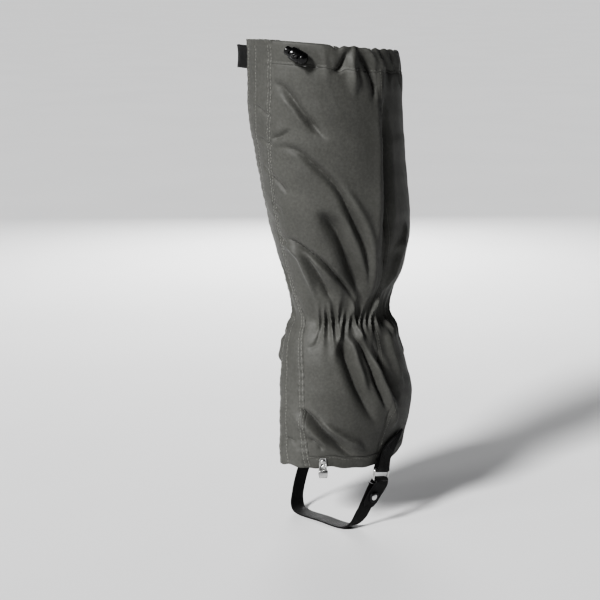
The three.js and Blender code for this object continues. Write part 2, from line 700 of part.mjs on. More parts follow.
addPanels();
addSeamTape("outer_seam_tape", rad(90));
addSeamTape("inner_seam_tape", rad(270));
addFlap();
addPullTab();
addCasing();
addCordLock();
addDrawcord();
addRings();
addLaceHook();
addStrapTab();
addRing();
addStrap();
addSnap();

export default gaiter;
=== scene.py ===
from math import acos, cos, hypot, pi, radians, sin, sqrt

import bmesh
import bpy
import numpy as np
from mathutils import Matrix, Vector


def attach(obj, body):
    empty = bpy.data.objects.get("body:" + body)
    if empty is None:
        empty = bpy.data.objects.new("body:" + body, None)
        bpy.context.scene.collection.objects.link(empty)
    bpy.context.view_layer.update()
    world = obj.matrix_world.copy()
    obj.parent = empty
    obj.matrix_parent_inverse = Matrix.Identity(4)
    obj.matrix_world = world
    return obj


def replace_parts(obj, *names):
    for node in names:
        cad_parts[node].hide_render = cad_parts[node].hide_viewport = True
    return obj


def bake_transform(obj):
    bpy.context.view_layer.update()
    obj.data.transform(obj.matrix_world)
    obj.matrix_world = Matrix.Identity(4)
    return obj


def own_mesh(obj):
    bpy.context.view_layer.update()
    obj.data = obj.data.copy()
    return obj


# A knee-high walking gaiter for a left leg. Shapes are worked out in millimetres
# and written to meshes in metres. Angles run from the shin (-Y) to the outer side (+X).
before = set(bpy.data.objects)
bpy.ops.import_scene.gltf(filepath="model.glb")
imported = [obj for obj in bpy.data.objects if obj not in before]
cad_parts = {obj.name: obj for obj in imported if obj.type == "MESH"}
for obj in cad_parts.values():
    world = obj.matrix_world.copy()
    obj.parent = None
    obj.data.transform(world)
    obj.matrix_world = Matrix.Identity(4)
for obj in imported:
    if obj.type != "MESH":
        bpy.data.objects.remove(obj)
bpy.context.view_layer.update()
MM = 0.001

# ---- The shape of the leg ----
RIM_Z, RIM_RISE = 432, 0.11
CASING_H, CASING_T, CASING_WALL = 23, 5.6, 0.95
CLOTH = 1.2
GAP = 0.2  # between sewn edges
HEM_H, HEM_T, HEM_DROP = 12, 2.6, 7
ANKLE_Z, ELASTIC_H = 150, 25
TAPE_W, TAPE_T = 25, 1.0
FLAP_W, FLAP_STANDOFF = 38, 7
TAB_RISE = 0.75  # the pull tab leaves the leg by this much per millimetre
UNDERLAP = 4.95  # the inner layer sits this far inside the flap
FULL = 2 * pi

# Height, centre's y, half width, half depth.
SECTIONS = np.array([
    [-10, 0, 53, 79], [0, 0, 53.5, 79.5], [31, 5, 57.5, 81.5], [63, 8.5, 61, 81],
    [95, 4.5, 58.5, 75], [116, 1.5, 55, 69.5], [135, 0.5, 50, 63.5], [150, 0, 42, 55],
    [165, 1, 43.5, 57.5], [190, 6, 52.5, 68], [212, 5, 59, 74], [240, 1.5, 66, 79],
    [275, -4.5, 70, 81], [320, -12, 71, 80.5], [372, -17.5, 71, 80], [432, -22, 69, 78],
    [450, -24, 68.5, 77.5],
])
# Height and x of the line where the front flap is sewn to the outer panel.
PLACKET = np.array([
    [-10, 30], [0, 27.5], [25, 22], [60, 17.5], [102, 14], [141, 5], [165, -3], [200, -8],
    [250, -7.5], [300, -5.5], [330, -3.5], [450, 7],
])


def curve_at(table, column, x):
    """Smooth curve through a table of keys, read at x; column 0 holds the keys' x."""
    keys, values = table[:, 0], table[:, column]
    last = len(keys) - 1
    order = np.arange(last + 1)
    before, after = np.maximum(order - 1, 0), np.minimum(order + 1, last)
    slopes = (values[after] - values[before]) / (keys[after] - keys[before])
    i = np.clip(np.searchsorted(keys, x) - 1, 0, last - 1)
    h = keys[i + 1] - keys[i]
    t = (x - keys[i]) / h
    return (
        (2 * t**3 - 3 * t**2 + 1) * values[i]
        + (t**3 - 2 * t**2 + t) * h * slopes[i]
        + (3 * t**2 - 2 * t**3) * values[i + 1]
        + (t**3 - t**2) * h * slopes[i + 1]
    )


def share(x, low, high):
    """How far x has come from low to high, from 0 to 1."""
    return np.clip((x - low) / (high - low), 0, 1)


def smooth(x, low, high):
    """The same with soft ends."""
    t = share(x, low, high)
    return t * t * (3 - 2 * t)


def bell(x, width):
    return np.exp(-((x / width) ** 2))


def all_round(count):
    """Angles evenly spaced round a circle."""
    return np.linspace(0, FULL, count, endpoint=False)


def placket_x(z):
    return curve_at(PLACKET, 1, z)


def angle_at_x(x, z):
    return np.arcsin(x / curve_at(SECTIONS, 2, z))


def rim_at(angle):
    return RIM_Z + RIM_RISE * curve_at(SECTIONS, 3, RIM_Z) * np.cos(angle)


def hem_at(angle):
    side = np.abs(pi - np.mod(angle, FULL)) - radians(87)
    return -HEM_DROP * bell(side, 0.5)


def dip(angle):
    return -UNDERLAP * smooth(angle, FULL - radians(82), FULL - radians(46))


def on_leg(angle, z, offset=0.0):
    """Points on the gaiter's outer surface, moved outwards by offset."""
    cy, rx, ry = (curve_at(SECTIONS, column, z) for column in (1, 2, 3))
    nx, ny = np.sin(angle) * ry, -np.cos(angle) * rx
    size = np.hypot(nx, ny)
    x = rx * np.sin(angle) + offset * nx / size
    y = cy - ry * np.cos(angle) + offset * ny / size
    return np.stack(np.broadcast_arrays(x, y, z), axis=-1)


def lean_normal(angle, z):
    """The surface's outward direction, with the lean of the leg."""
    round_leg = on_leg(angle + 0.01, z) - on_leg(angle - 0.01, z)
    rise = on_leg(angle, z + 1) - on_leg(angle, z - 1)
    normal = np.cross(round_leg, rise)
    return normal / np.linalg.norm(normal, axis=-1, keepdims=True)


# ---- Folds of the cloth ----

FADE = 0.32  # the share of a fold's length over which each end fades
DEPTH = 2.1  # deepens every fold of the lists
RIPPLE = 0.8
WAIST, WAIST_REACH = 1.4, 20  # the elastic draws the cloth in
RIM_PLEAT_DROP = 20.5
SEAM_GROOVE, SEAM_PUCKER, PUCKER_PITCH = 0.35, 0.15, 7.3

# Each fold is a smooth line of (degrees from the shin, height), how far it stands
# out or sinks in, and its half width.
FOLDS = [
    ([(2, 402), (13, 394), (22, 381), (31, 366), (40, 353), (48, 341)], -2.7, 5.6),
    ([(9, 386), (20, 378), (28, 364), (37, 348)], 1.5, 5),
    ([(-6, 331), (12, 335), (23, 331), (34, 319), (45, 305), (53, 291), (59, 271), (64, 252),
      (69, 236), (72, 215), (76, 190), (84, 170)], -2.7, 4.8),
    ([(50, 303), (57, 292), (63, 277), (70, 257), (73, 238), (77, 210), (82, 184), (90, 167)], 1.8, 4.5),
    ([(31, 270), (39, 264), (47, 250), (54, 228), (60, 207), (69, 185), (80, 170)], -5, 9),
    ([(47, 276), (55, 260), (60, 239), (66, 218), (72, 198), (81, 176)], 1.8, 4.5),
    ([(-8, 242), (4, 239), (13, 234), (24, 225), (34, 216), (44, 202), (53, 190), (64, 176), (70, 164)],
     -2.4, 2.6),
    ([(-2, 230), (12, 225), (24, 216), (34, 206), (45, 190), (56, 173)], 1.8, 5),
    ([(10, 232), (18, 222), (24, 208), (31, 193), (38, 180), (46, 167)], -2.6, 4.5),
    ([(-17, 223), (2, 229), (11, 221), (16, 204), (20, 188), (25, 171)], 2.3, 4.5),
    ([(97, 392), (96, 362), (95, 331), (93, 300), (90, 262), (88, 225), (93, 190)], -3.4, 6),
    ([(113, 236), (109, 218), (104, 198), (103, 176)], 2.8, 5),
    ([(118, 252), (112, 232), (98, 222)], 1.6, 5),
    ([(72, 438), (67, 429), (61, 419), (52, 408)], -2.1, 3.8),
    ([(67, 441), (69, 424), (69, 406), (71, 380)], 2.4, 4.4),
    ([(71, 440), (78, 426), (84, 412), (87, 396), (84, 376)], -3.1, 4.6),
    ([(81, 438), (88, 424), (96, 415), (100, 404)], 1.7, 3.6),
    ([(91, 440), (99, 424), (104, 410), (104, 394)], -1.5, 4.4),
    ([(107, 438), (114, 420), (122, 404), (128, 384)], -2, 4.6),
    ([(-3, 342), (9, 346), (20, 354)], -1.3, 3.4),
    ([(-22, 376), (-10, 369), (2, 362)], -1.1, 2.8),
    ([(-20, 344), (-8, 338), (2, 335)], -1.0, 2.6),
    ([(-10, 306), (2, 298), (12, 286)], -1.2, 3),
    ([(48, 137), (52, 128), (56, 116), (60, 99), (65, 79), (73, 57), (84, 36)], -4, 6.5),
    ([(56, 140), (63, 129), (66, 110), (69, 91), (72, 66)], 2.6, 4),
    ([(62, 142), (73, 124), (78, 103), (81, 83), (85, 66), (91, 48)], -2.6, 2.6),
    ([(76, 124), (81, 108), (86, 85), (91, 62), (100, 40), (103, 28)], 2.6, 4.5),
    ([(82, 132), (88, 110), (92, 90), (97, 74), (105, 52)], -3.2, 5),
    ([(112, 142), (106, 130), (106, 114), (109, 90), (114, 70)], 2.8, 5),
    ([(8, 63), (17, 57), (27, 48), (39, 36), (49, 26), (60, 16), (74, 3)], -4, 4),
    ([(-2, 56), (12, 47), (26, 36), (37, 26), (48, 15)], 1.8, 5),
    ([(30, 51), (42, 41), (55, 31), (68, 21), (80, 9)], 2.6, 4),
    ([(22, 33), (33, 26), (41, 17)], -1.6, 2.8),
    ([(14, 125), (24, 127), (28, 136), (26, 148)], -0.8, 2.6),
    ([(-9, 29), (5, 27), (12, 24)], -0.8, 2.2),
    ([(-13, 276), (-4, 271), (2, 264)], -0.7, 2.6),
    ([(-18, 312), (-8, 309)], -0.7, 2.4),
    ([(-14, 243), (-6, 236), (0, 232)], -1.0, 3.2),
    ([(-38, 214), (-28, 206), (-22, 192), (-20, 172)], -2.4, 4),
    ([(-34, 96), (-30, 74), (-20, 55)], -1.8, 5),
]


def catmull(points, t):
    """Centripetal Catmull-Rom curve through points, read at t from 0 to 1."""
    points = np.asarray(points, float)
    ends = 2 * points[:1] - points[1:2], 2 * points[-1:] - points[-2:-1]
    padded = np.vstack([ends[0], points, ends[1]])
    spans = len(points) - 1
    place = np.clip(np.asarray(t, float), 0, 1) * spans
    i = np.minimum(place.astype(int), spans - 1)
    w = (place - i)[..., None]
    p0, p1, p2, p3 = (padded[i + k] for k in range(4))
    d0, d1, d2 = (
        np.maximum(np.linalg.norm(b - a, axis=-1, keepdims=True), 1e-4) ** 0.5
        for a, b in ((p0, p1), (p1, p2), (p2, p3))
    )
    m1 = ((p1 - p0) / d0 - (p2 - p0) / (d0 + d1) + (p2 - p1) / d1) * d1
    m2 = ((p2 - p1) / d1 - (p3 - p1) / (d1 + d2) + (p3 - p2) / d2) * d1
    cubic = 2 * p1 - 2 * p2 + m1 + m2
    square = -3 * p1 + 3 * p2 - 2 * m1 - m2
    return ((cubic * w + square) * w + m1) * w + p1


def turn_from(a, middle):
    """Degrees from middle to a, the short way round."""
    return np.mod(a - middle + 180, 360) - 180


def radius_at(z):
    return (curve_at(SECTIONS, 2, z) + curve_at(SECTIONS, 3, z)) / 2


def arc_from(a, middle, z):
    """Millimetres round the leg from middle to a, both in degrees."""
    return turn_from(a, middle) * radians(1) * radius_at(z)


def nearest(spots, path):
    """Each spot's distance from a path, and its place along the path from 0 to 1."""
    away, place = np.full(len(spots), 1e9), np.zeros(len(spots))
    for k, (start, end) in enumerate(zip(path[:-1], path[1:])):
        way = end - start
        t = np.clip((spots - start) @ way / (way @ way), 0, 1)
        gap = np.linalg.norm(spots - start - t[:, None] * way, axis=1)
        nearer = gap < away
        away = np.where(nearer, gap, away)
        place = np.where(nearer, (k + t) / (len(path) - 1), place)
    return away, place


def one_fold(a, z, line, height, width):
    """A ridge or a sharp valley with raised shoulders along a line, fading at its ends."""
    line = np.array(line, float)
    middle = line.mean(axis=0)
    scale = radians(1) * radius_at(middle[1])
    path = catmull((line - middle) * [scale, 1], np.linspace(0, 1, 6 * len(line)))
    spots = np.stack([turn_from(a, middle[0]) * scale, z - middle[1]], axis=-1)
    room = 3.2 * width
    near = np.all((spots > path.min(axis=0) - room) & (spots < path.max(axis=0) + room), axis=-1)
    total = np.zeros_like(z)
    if not near.any():
        return total
    away, place = nearest(spots[near], path)
    fade = smooth(place, 0, FADE) * smooth(1 - place, 0, FADE)
    wide = width * (0.65 + 0.35 * fade)
    profile = bell(away, wide)
    if height < 0:
        blunt = 0.28 * wide
        crease = np.exp((blunt - np.hypot(away, blunt)) / (0.42 * wide))
        shoulder = bell(away - 1.8 * wide, 0.8 * wide)
        profile = 0.5 * profile + 0.65 * crease - 0.06 * shoulder
    total[near] = height * fade * profile
    return total


def unseen_folds():
    """Folds like the ones in FOLDS, spread round the inner side and the back."""
    dice = np.random.default_rng(11)
    made = []
    for middle in np.arange(155, 322, 13.0):
        for upward in (1, -1):
            start = middle + dice.uniform(-4, 4)
            bend = dice.uniform(-1, 1, 3).cumsum() * 7
            reach = dice.uniform(16, 34) * (1.1 if upward > 0 else 0.8)
            line = [(start + b, ANKLE_Z + upward * (16 + reach * k)) for k, b in enumerate(bend)]
            sign = dice.choice([-1, 1])
            made.append((line, sign * dice.uniform(1.4, 3), dice.uniform(3.5, 7)))
    for middle in np.arange(150, 325, 22.0):
        top = dice.uniform(330, 410)
        slant = dice.uniform(-22, 22)
        line = [(middle, top), (middle + slant / 2, top - 28), (middle + slant, top - 70)]
        made.append((line, dice.choice([-1.0, 1]) * dice.uniform(1, 2), dice.uniform(5, 9)))
    return made


ALL_FOLDS = FOLDS + unseen_folds()

# Height, angle and how far it stands out, where the cloth turns from the front to the side.
CORNER = np.array([
    (0, 110, 0), (8, 108, 1.2), (28, 101, 3), (62, 91, 5), (98, 85.5, 5), (125, 83, 3.4),
    (150, 82, 0.6), (170, 82, 1.5), (194, 79, 4), (222, 77.5, 5.6), (243, 79, 6), (269, 81, 6),
    (300, 83.5, 6), (331, 86, 6), (361, 87, 5.6), (391, 88.5, 4.8), (410, 88.5, 3), (419, 86, 1.2),
    (440, 84, 0),
])


def corner(a, z):
    """The cloth turns sharply at the outer side instead of lying in one smooth curve."""
    away = arc_from(a, curve_at(CORNER, 1, z), z)
    return curve_at(CORNER, 2, z) * np.exp(-np.sqrt(away**2 + 1.4) / 13)


def pleat_table(first, last, pitch, seed, height, width, reach):
    """Angle, height, half width, reach up and down, lean and level of each pleat in a row."""
    dice = np.random.default_rng(seed)
    angles = np.arange(first, last, pitch)
    return [
        (
            angle + dice.uniform(-0.22, 0.22) * pitch,
            height * dice.uniform(0.65, 1.25),
            width * dice.uniform(0.85, 1.2),
            dice.uniform(*reach),
            dice.uniform(*reach),
            dice.uniform(-0.3, 0.3),
            dice.uniform(-0.2, 0.2) * reach[0],
        )
        for angle in angles
    ]


ANKLE_PLEATS = pleat_table(28, 330, 6.8, 3, 4.9, 1.65, (9, 26))
RIM_PLEATS = pleat_table(48, 325, 9.5, 5, 1.9, 2.4, (14, 30))


def pleats(a, level, table, spread):
    """Upright pleats, sharpest where level is 0, that widen and fade above and below."""
    total = np.zeros_like(a)
    for angle, height, width, rise, drop, lean, middle in table:
        beyond = level - middle
        reach = np.where(beyond > 0, rise, drop)
        away = turn_from(a, angle + lean * beyond) * 0.85
        wide = width + spread * np.abs(beyond)
        total += height * np.exp(-(np.abs(away / wide) ** 1.7) - (beyond / reach) ** 2)
    return total


def ripple(a, z):
    """Slow unevenness and small creases all over."""
    dice = np.random.default_rng(23)
    total = np.zeros_like(a)
    for size, length, count in ((1.0, 90, 7), (0.34, 30, 12), (0.12, 13, 16)):
        for _ in range(count):
            heading = dice.uniform(0, pi)
            around = max(1, round(cos(heading) * FULL * 70 / length))
            phase = dice.uniform(0, FULL)
            wave = np.sin(np.radians(a) * around + sin(heading) * z * FULL / length + phase)
            total += size * wave / sqrt(count)
    return total


# Places that stay smooth, where hardware sits: angle, height, and the radii in millimetres.
QUIET = [(29, 428, 13, 13), (40, 5, 10, 13), (86, 8, 17, 22), (101, 20, 15, 14), (-98, 8, 20, 26)]


def folds(angle, z):
    """How far the cloth stands out from the smooth leg."""
    a = turn_from(np.degrees(angle), 0)
    a, z = (values.copy() for values in np.broadcast_arrays(a, np.asarray(z, float)))
    total = RIPPLE * ripple(a, z) + corner(a, z)
    for line, height, width in ALL_FOLDS:
        total += one_fold(a, z, line, DEPTH * height, width)
    total += pleats(a, z - ANKLE_Z, ANKLE_PLEATS, 0.055) - WAIST * bell(z - ANKLE_Z, WAIST_REACH)
    total += pleats(a, z - rim_at(np.radians(a)) + RIM_PLEAT_DROP, RIM_PLEATS, 0.05)
    for side in (90, -90):
        away = arc_from(a, side, z)
        pucker = SEAM_PUCKER * np.cos(z * FULL / PUCKER_PITCH + side) * bell(away, 6)
        total += pucker - SEAM_GROOVE * bell(away, 1.6)
    for spot, level, wide, tall in QUIET:
        away = arc_from(a, spot, z) / wide
        total *= 1 - np.exp(-((away**2 + ((z - level) / tall) ** 2) ** 1.5))
    return total


def sway(angle, z):
    """The lower edge isn't quite level, and the gathers pull the rim down here and there."""
    edge = 0.9 * np.sin(9 * angle + 0.6) + 0.6 * np.sin(17 * angle)
    a = turn_from(np.degrees(angle), 0)
    crown = 0.7 * np.sin(a * 0.62) * smooth(np.abs(a - 8), 40, 60)
    for spot, drop, width in ((59, 3.2, 4.5), (86, 1.6, 4), (-70, 1.8, 6), (150, 2, 6), (-150, 2, 6)):
        crown = crown - drop * bell(a - spot, width)
    return edge * (1 - smooth(z, 0, 45)) + crown * smooth(z, 370, 425)


def cloth(angle, z, offset=0.0):
    return on_leg(angle, z + sway(angle, z), offset + folds(angle, z))


# ---- Mesh tools ----


def linked(name, data):
    """A new object in the scene."""
    made = bpy.data.objects.new(name, data)
    bpy.context.scene.collection.objects.link(made)
    return made


def mesh_piece(name, points, faces, body, look, uv):
    """A closed piece in metres from points in millimetres, its faces turned outwards.

    A look is the name of a slot, which is not used here, and the materials added to the piece.
    """
    mesh = bpy.data.meshes.new(name)
    mesh.from_pydata((np.asarray(points).reshape(-1, 3) * MM).tolist(), [], faces)
    layer = mesh.uv_layers.new(name="UVMap")
    corners = np.empty(len(mesh.loops), np.int32)
    mesh.loops.foreach_get("vertex_index", corners)
    layer.data.foreach_set("uv", (uv.reshape(-1, 2)[corners] * MM).astype(np.float32).ravel())
    shape = bmesh.new()
    shape.from_mesh(mesh)
    bmesh.ops.remove_doubles(shape, verts=shape.verts, dist=1e-7)
    if shape.calc_volume(signed=True) < 0:
        bmesh.ops.reverse_faces(shape, faces=shape.faces)
    shape.to_mesh(mesh)
    shape.free()
    mesh.shade_smooth()
    mesh.set_sharp_from_angle(angle=radians(50))
    piece = linked(name, mesh)
    slot, *materials = look
    for material in materials:
        mesh.materials.append(material)
    if body:
        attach(piece, body)
    return piece


def lengths_along(grid, axis):
    """Distance travelled along a grid of points, from its first row or column."""
    steps = np.linalg.norm(np.diff(grid, axis=axis), axis=-1)
    start = np.zeros_like(np.take(steps, [0], axis=axis))
    return np.concatenate([start, np.cumsum(steps, axis=axis)], axis=axis)


def grid_normals(grid):
    normal = np.cross(np.gradient(grid, axis=1), np.gradient(grid, axis=0))
    return normal / np.maximum(np.linalg.norm(normal, axis=-1, keepdims=True), 1e-9)


def on_axis(points):
    """The middle of the leg beside each point."""
    z = points[..., 2]
    return np.stack([0 * z, curve_at(SECTIONS, 1, z), z], axis=-1)


def quads(index):
    corners = index[:-1, :-1], index[:-1, 1:], index[1:, 1:], index[1:, :-1]
    return np.stack(corners, axis=-1).reshape(-1, 4)


EDGE_TRIM = 0.28  # the share of a sheet's thickness taken off each face at its edges


def shell(name, outer, thickness, body, look):
    """A closed sheet of cloth below a grid of outer points, its edges rounded a little."""
    rows, columns = outer.shape[:2]
    inside = np.zeros((rows, columns, 1))
    inside[1:-1, 1:-1] = 1
    inward = grid_normals(outer)
    to_middle = on_axis(outer) - outer
    inward *= np.where(np.sum(inward * to_middle, axis=-1, keepdims=True) < 0, -1, 1)
    trim = EDGE_TRIM * (1 - inside) * thickness
    top, bottom = outer + inward * trim, outer + inward * (thickness - trim)
    points = np.concatenate([top.reshape(-1, 3), bottom.reshape(-1, 3)])
    index = np.arange(rows * columns).reshape(rows, columns)
    other = index + rows * columns
    edges = (
        (other[0], index[0]), (index[-1], other[-1]),
        (index[:, 0], other[:, 0]), (other[:, -1], index[:, -1]),
    )
    sides = [quads(np.stack(pair)) for pair in edges]
    faces = np.concatenate([quads(index), quads(other[:, ::-1]), *sides])
    flat = np.stack([lengths_along(outer, 1), lengths_along(outer, 0)], axis=-1).reshape(-1, 2)
    return mesh_piece(name, points, faces.tolist(), body, look, np.concatenate([flat, flat]))


def loft(name, rings, body, look, is_loop=False, bores=None):
    """A closed body over rings of points, hollow if there are rings for its bore."""
    rings = np.asarray(rings, float)
    count, around = rings.shape[:2]
    wrap = np.arange(around + 1) % around
    index = np.arange(count * around).reshape(count, around)
    lengthwise = np.vstack([index, index[:1]]) if is_loop else index
    faces = quads(lengthwise[:, wrap]).tolist()
    closed_ring = np.concatenate([rings, rings[:, :1]], axis=1)
    across, along = lengths_along(closed_ring, 1)[:, :-1], lengths_along(rings, 0)
    uv = np.stack([across, along], axis=-1)
    points = rings
    if bores is not None:
        inner = index + count * around
        points = np.concatenate([rings, bores])
        uv = np.concatenate([uv, uv])
        faces += quads(inner[:, wrap[::-1]]).tolist()
        faces += quads(np.stack([inner[0, wrap], index[0, wrap]])).tolist()
        faces += quads(np.stack([index[-1, wrap], inner[-1, wrap]])).tolist()
    elif not is_loop:
        faces += [index[0, ::-1].tolist(), index[-1].tolist()]
    return mesh_piece(name, points, faces, body, look, uv)


def unit(v):
    v = np.asarray(v, float)
    return v / np.linalg.norm(v, axis=-1, keepdims=True)


def rings_about(path, first, second, x, y):
    """Rings of points round a path, x along the first direction and y along the second."""
    sideways, outwards = x[..., None] * first[..., None, :], y[..., None] * second[..., None, :]
    return path[..., None, :] + sideways + outwards


def sweep(name, path, radius, body, look, sides, closed_normal=None):
    """A round bar along a dense path. A closed path lies in a plane with closed_normal."""
    path = np.asarray(path, float)
    is_loop = closed_normal is not None
    if is_loop:
        tangents = unit(np.roll(path, -1, axis=0) - np.roll(path, 1, axis=0))
        first = np.tile(closed_normal, (len(path), 1))
    else:
        tangents = unit(np.gradient(path, axis=0))
        first = np.zeros_like(path)
        current = unit(np.cross(tangents[0], [0.3, 0.2, 0.9]))
        for k, tangent in enumerate(tangents):
            current = unit(current - tangent * (current @ tangent))
            first[k] = current
    second = np.cross(tangents, first)
    turns = all_round(sides)
    rings = rings_about(path, first, second, radius * np.cos(turns), radius * np.sin(turns))
    return loft(name, rings, body, look, is_loop)


def placed(points, matrix):
    """Points in a local frame, put in place by a 4x4 matrix."""
    points = np.asarray(points, float)
    return points @ matrix[:3, :3].T + matrix[:3, 3]


def local_frame(y, z, origin):
    y, z = unit(y), unit(z)
    made = np.eye(4)
    made[:3] = np.column_stack([unit(np.cross(y, z)), y, z, origin])
    return made


def rounded(profile, radius, steps=3):
    """A closed profile of [radius, height] with each corner off the axis turned into a small arc."""
    profile = np.array(profile, float)
    made = []
    for k, corner in enumerate(profile):
        before, after = profile[k - 1], profile[(k + 1) % len(profile)]
        sides = np.linalg.norm(before - corner), np.linalg.norm(after - corner)
        if corner[0] < 1e-6:
            made.append(corner)
            continue
        reach = min(radius, 0.4 * min(sides))
        start = corner + (before - corner) / sides[0] * reach
        end = corner + (after - corner) / sides[1] * reach
        for t in np.linspace(0, 1, steps):
            made.append((1 - t) ** 2 * start + 2 * t * (1 - t) * corner + t * t * end)
    return np.array(made)


def lathe(name, profile, axis, matrix, body, look, rounding, sides=72):
    """A turned piece about the local y or z axis; profile points are [radius, height]."""
    outline = rounded(profile, rounding)
    turns = all_round(sides)[:, None]
    x, y = outline[:, 0] * np.cos(turns), outline[:, 0] * np.sin(turns)
    height = np.broadcast_to(outline[:, 1], x.shape)
    order = (x, height, y) if axis == "y" else (x, y, height)
    return loft(name, placed(np.stack(order, axis=-1), matrix), body, look, is_loop=True)


def carve(piece, tool):
    """Cuts a tool's shape out of a piece and removes the tool."""
    cut = piece.modifiers.new("cut", "BOOLEAN")
    cut.operation, cut.solver, cut.object = "DIFFERENCE", "EXACT", tool
    bpy.context.view_layer.update()
    cut_piece = piece.evaluated_get(bpy.context.evaluated_depsgraph_get())
    mesh = bpy.data.meshes.new_from_object(cut_piece)
    piece.modifiers.clear()
    piece.data = mesh
    bpy.data.objects.remove(tool)


# ---- Materials ----

def srgb(colour):
    """A linear colour from sRGB, given as three numbers or as one for a grey."""
    values = np.broadcast_to(colour, 3).tolist()
    return [((v + 0.055) / 1.055) ** 2.4 if v > 0.04 else v / 12.92 for v in values] + [1]


class Paint:
    """A Principled material and short ways to add nodes to it."""

    def __init__(self, name, colour, roughness, **settings):
        self.material = bpy.data.materials.new(name)
        self.material.use_nodes = True
        self.nodes = self.material.node_tree.nodes
        self.shader = self.nodes["Principled BSDF"]
        self.shader.inputs["Base Color"].default_value = srgb(colour)
        self.set(self.shader, Roughness=roughness, **settings)
        coordinates = self.nodes.new("ShaderNodeTexCoord")
        self.flat, self.solid = coordinates.outputs["UV"], coordinates.outputs["Object"]

    def put(self, value, socket):
        """Sets a socket to a number, or wires an output to it."""
        if isinstance(value, (int, float)):
            socket.default_value = value
        else:
            self.material.node_tree.links.new(value, socket)

    def set(self, node, **inputs):
        for key, value in inputs.items():
            self.put(value, node.inputs[key.replace("_", " ")])

    def add(self, kind, **inputs):
        node = self.nodes.new(f"ShaderNode{kind}")
        self.set(node, **inputs)
        return node

    def noise(self, scale, detail):
        return self.add("TexNoise", Scale=scale, Detail=detail, Vector=self.solid).outputs["Fac"]

    def bands(self, period, direction, distortion=0.0):
        """Sine bands with a period in metres."""
        scale = pi / 10 / period
        node = self.add("TexWave", Scale=scale, Distortion=distortion, Detail=0, Vector=self.flat)
        node.bands_direction = direction
        return node.outputs["Fac"]

    def maths(self, operation, *values):
        node = self.add("Math")
        node.operation = operation
        for value, socket in zip(values, node.inputs):
            self.put(value, socket)
        return node.outputs["Value"]

    def tones(self, value, dark, light):
        """Colours the surface between two tones; value runs from about 0.3 to 0.7."""
        node = self.add("ValToRGB", Fac=value)
        for end, place, colour in zip(node.color_ramp.elements, (0.3, 0.7), (dark, light)):
            end.position, end.color = place, srgb(colour)
        self.set(self.shader, Base_Color=node.outputs["Color"])

    def rough(self, value, low, high):
        node = self.add("MapRange", Value=value, To_Min=low, To_Max=high)
        self.set(self.shader, Roughness=node.outputs["Result"])

    def bump(self, *layers):
        """Each layer is a height and its depth in metres."""
        below = {}
        for height, depth in layers:
            node = self.add("Bump", Strength=1, Distance=depth, Height=height, **below)
            below = {"Normal": node.outputs["Normal"]}
        self.set(self.shader, **below)


def woven(name, dark, light, roughness, period, depth, sheen):
    """Plain woven cloth: crossed threads, a soft sheen, and colour patches that are partly uneven dye and
    partly painted satin highlights.
    """
    paint = Paint(name, light, roughness, Sheen_Weight=sheen, Sheen_Roughness=0.45, Specular_IOR_Level=0.3)
    threads = paint.maths("MULTIPLY", paint.bands(period, "X", 0.4), paint.bands(period, "Y", 0.4))
    blotch = paint.maths("MULTIPLY", paint.noise(380, 3), 0.4)
    # Painted sheen: the colour's light and dark patches stand partly for the satin's light streaks and
    # partly for uneven dye.
    dye_and_sheen_mottle = paint.maths("MULTIPLY_ADD", paint.noise(24, 3), 0.35, blotch)
    paint.tones(dye_and_sheen_mottle, dark, light)
    paint.rough(paint.noise(120, 2), roughness - 0.08, roughness + 0.1)
    paint.bump((threads, depth), (paint.noise(150, 3), 0.0001))
    return paint.material


def webbing(name, dark, light, rib, depth):
    """Close woven webbing: ribs across, fine threads along and a dull shine."""
    paint = Paint(name, light, 0.6, Sheen_Weight=0.06, Sheen_Roughness=0.5, Specular_IOR_Level=0.3)
    ribs = paint.bands(rib, "Y", 0.3)
    crossed = paint.maths("MULTIPLY", ribs, paint.bands(rib * 0.7, "X", 0.5))
    paint.tones(paint.noise(300, 3), dark, light)
    paint.rough(paint.noise(90, 2), 0.5, 0.72)
    paint.bump((ribs, depth), (crossed, depth * 0.7), (paint.noise(1500, 2), 0.00004))
    return paint.material


def tape(name, dark, light, scale, depth):
    """Matt, fuzzy hook or loop tape."""
    paint = Paint(name, light, 0.95, Sheen_Weight=0.4, Sheen_Roughness=0.6, Specular_IOR_Level=0.1)
    paint.tones(paint.noise(scale, 4), dark, light)
    paint.bump((paint.noise(scale, 4), depth), (paint.noise(scale * 3, 2), depth * 0.5))
    return paint.material


def plastic(name, dark, light):
    paint = Paint(name, light, 0.24, Specular_IOR_Level=0.5, Coat_Weight=0.15, Coat_Roughness=0.1)
    paint.tones(paint.noise(220, 3), dark, light)
    paint.rough(paint.noise(420, 4), 0.17, 0.34)
    paint.bump((paint.noise(900, 2), 0.00002))
    return paint.material


def metal(name, dark, light, roughness):
    paint = Paint(name, light, roughness, Metallic=1.0)
    paint.tones(paint.noise(160, 4), dark, light)
    paint.rough(paint.noise(500, 5), roughness - 0.08, roughness + 0.14)
    paint.bump((paint.noise(1100, 3), 0.000012))
    return paint.material


def braid(name, dark, light):
    paint = Paint(name, light, 0.6, Sheen_Weight=0.3, Specular_IOR_Level=0.3)
    crossed = paint.maths("MULTIPLY", paint.bands(0.0011, "DIAGONAL"), paint.bands(0.0009, "Y", 0.4))
    paint.tones(paint.noise(500, 2), dark, light)
    paint.rough(paint.noise(300, 2), 0.5, 0.7)
    paint.bump((crossed, 0.0002))
    return paint.material


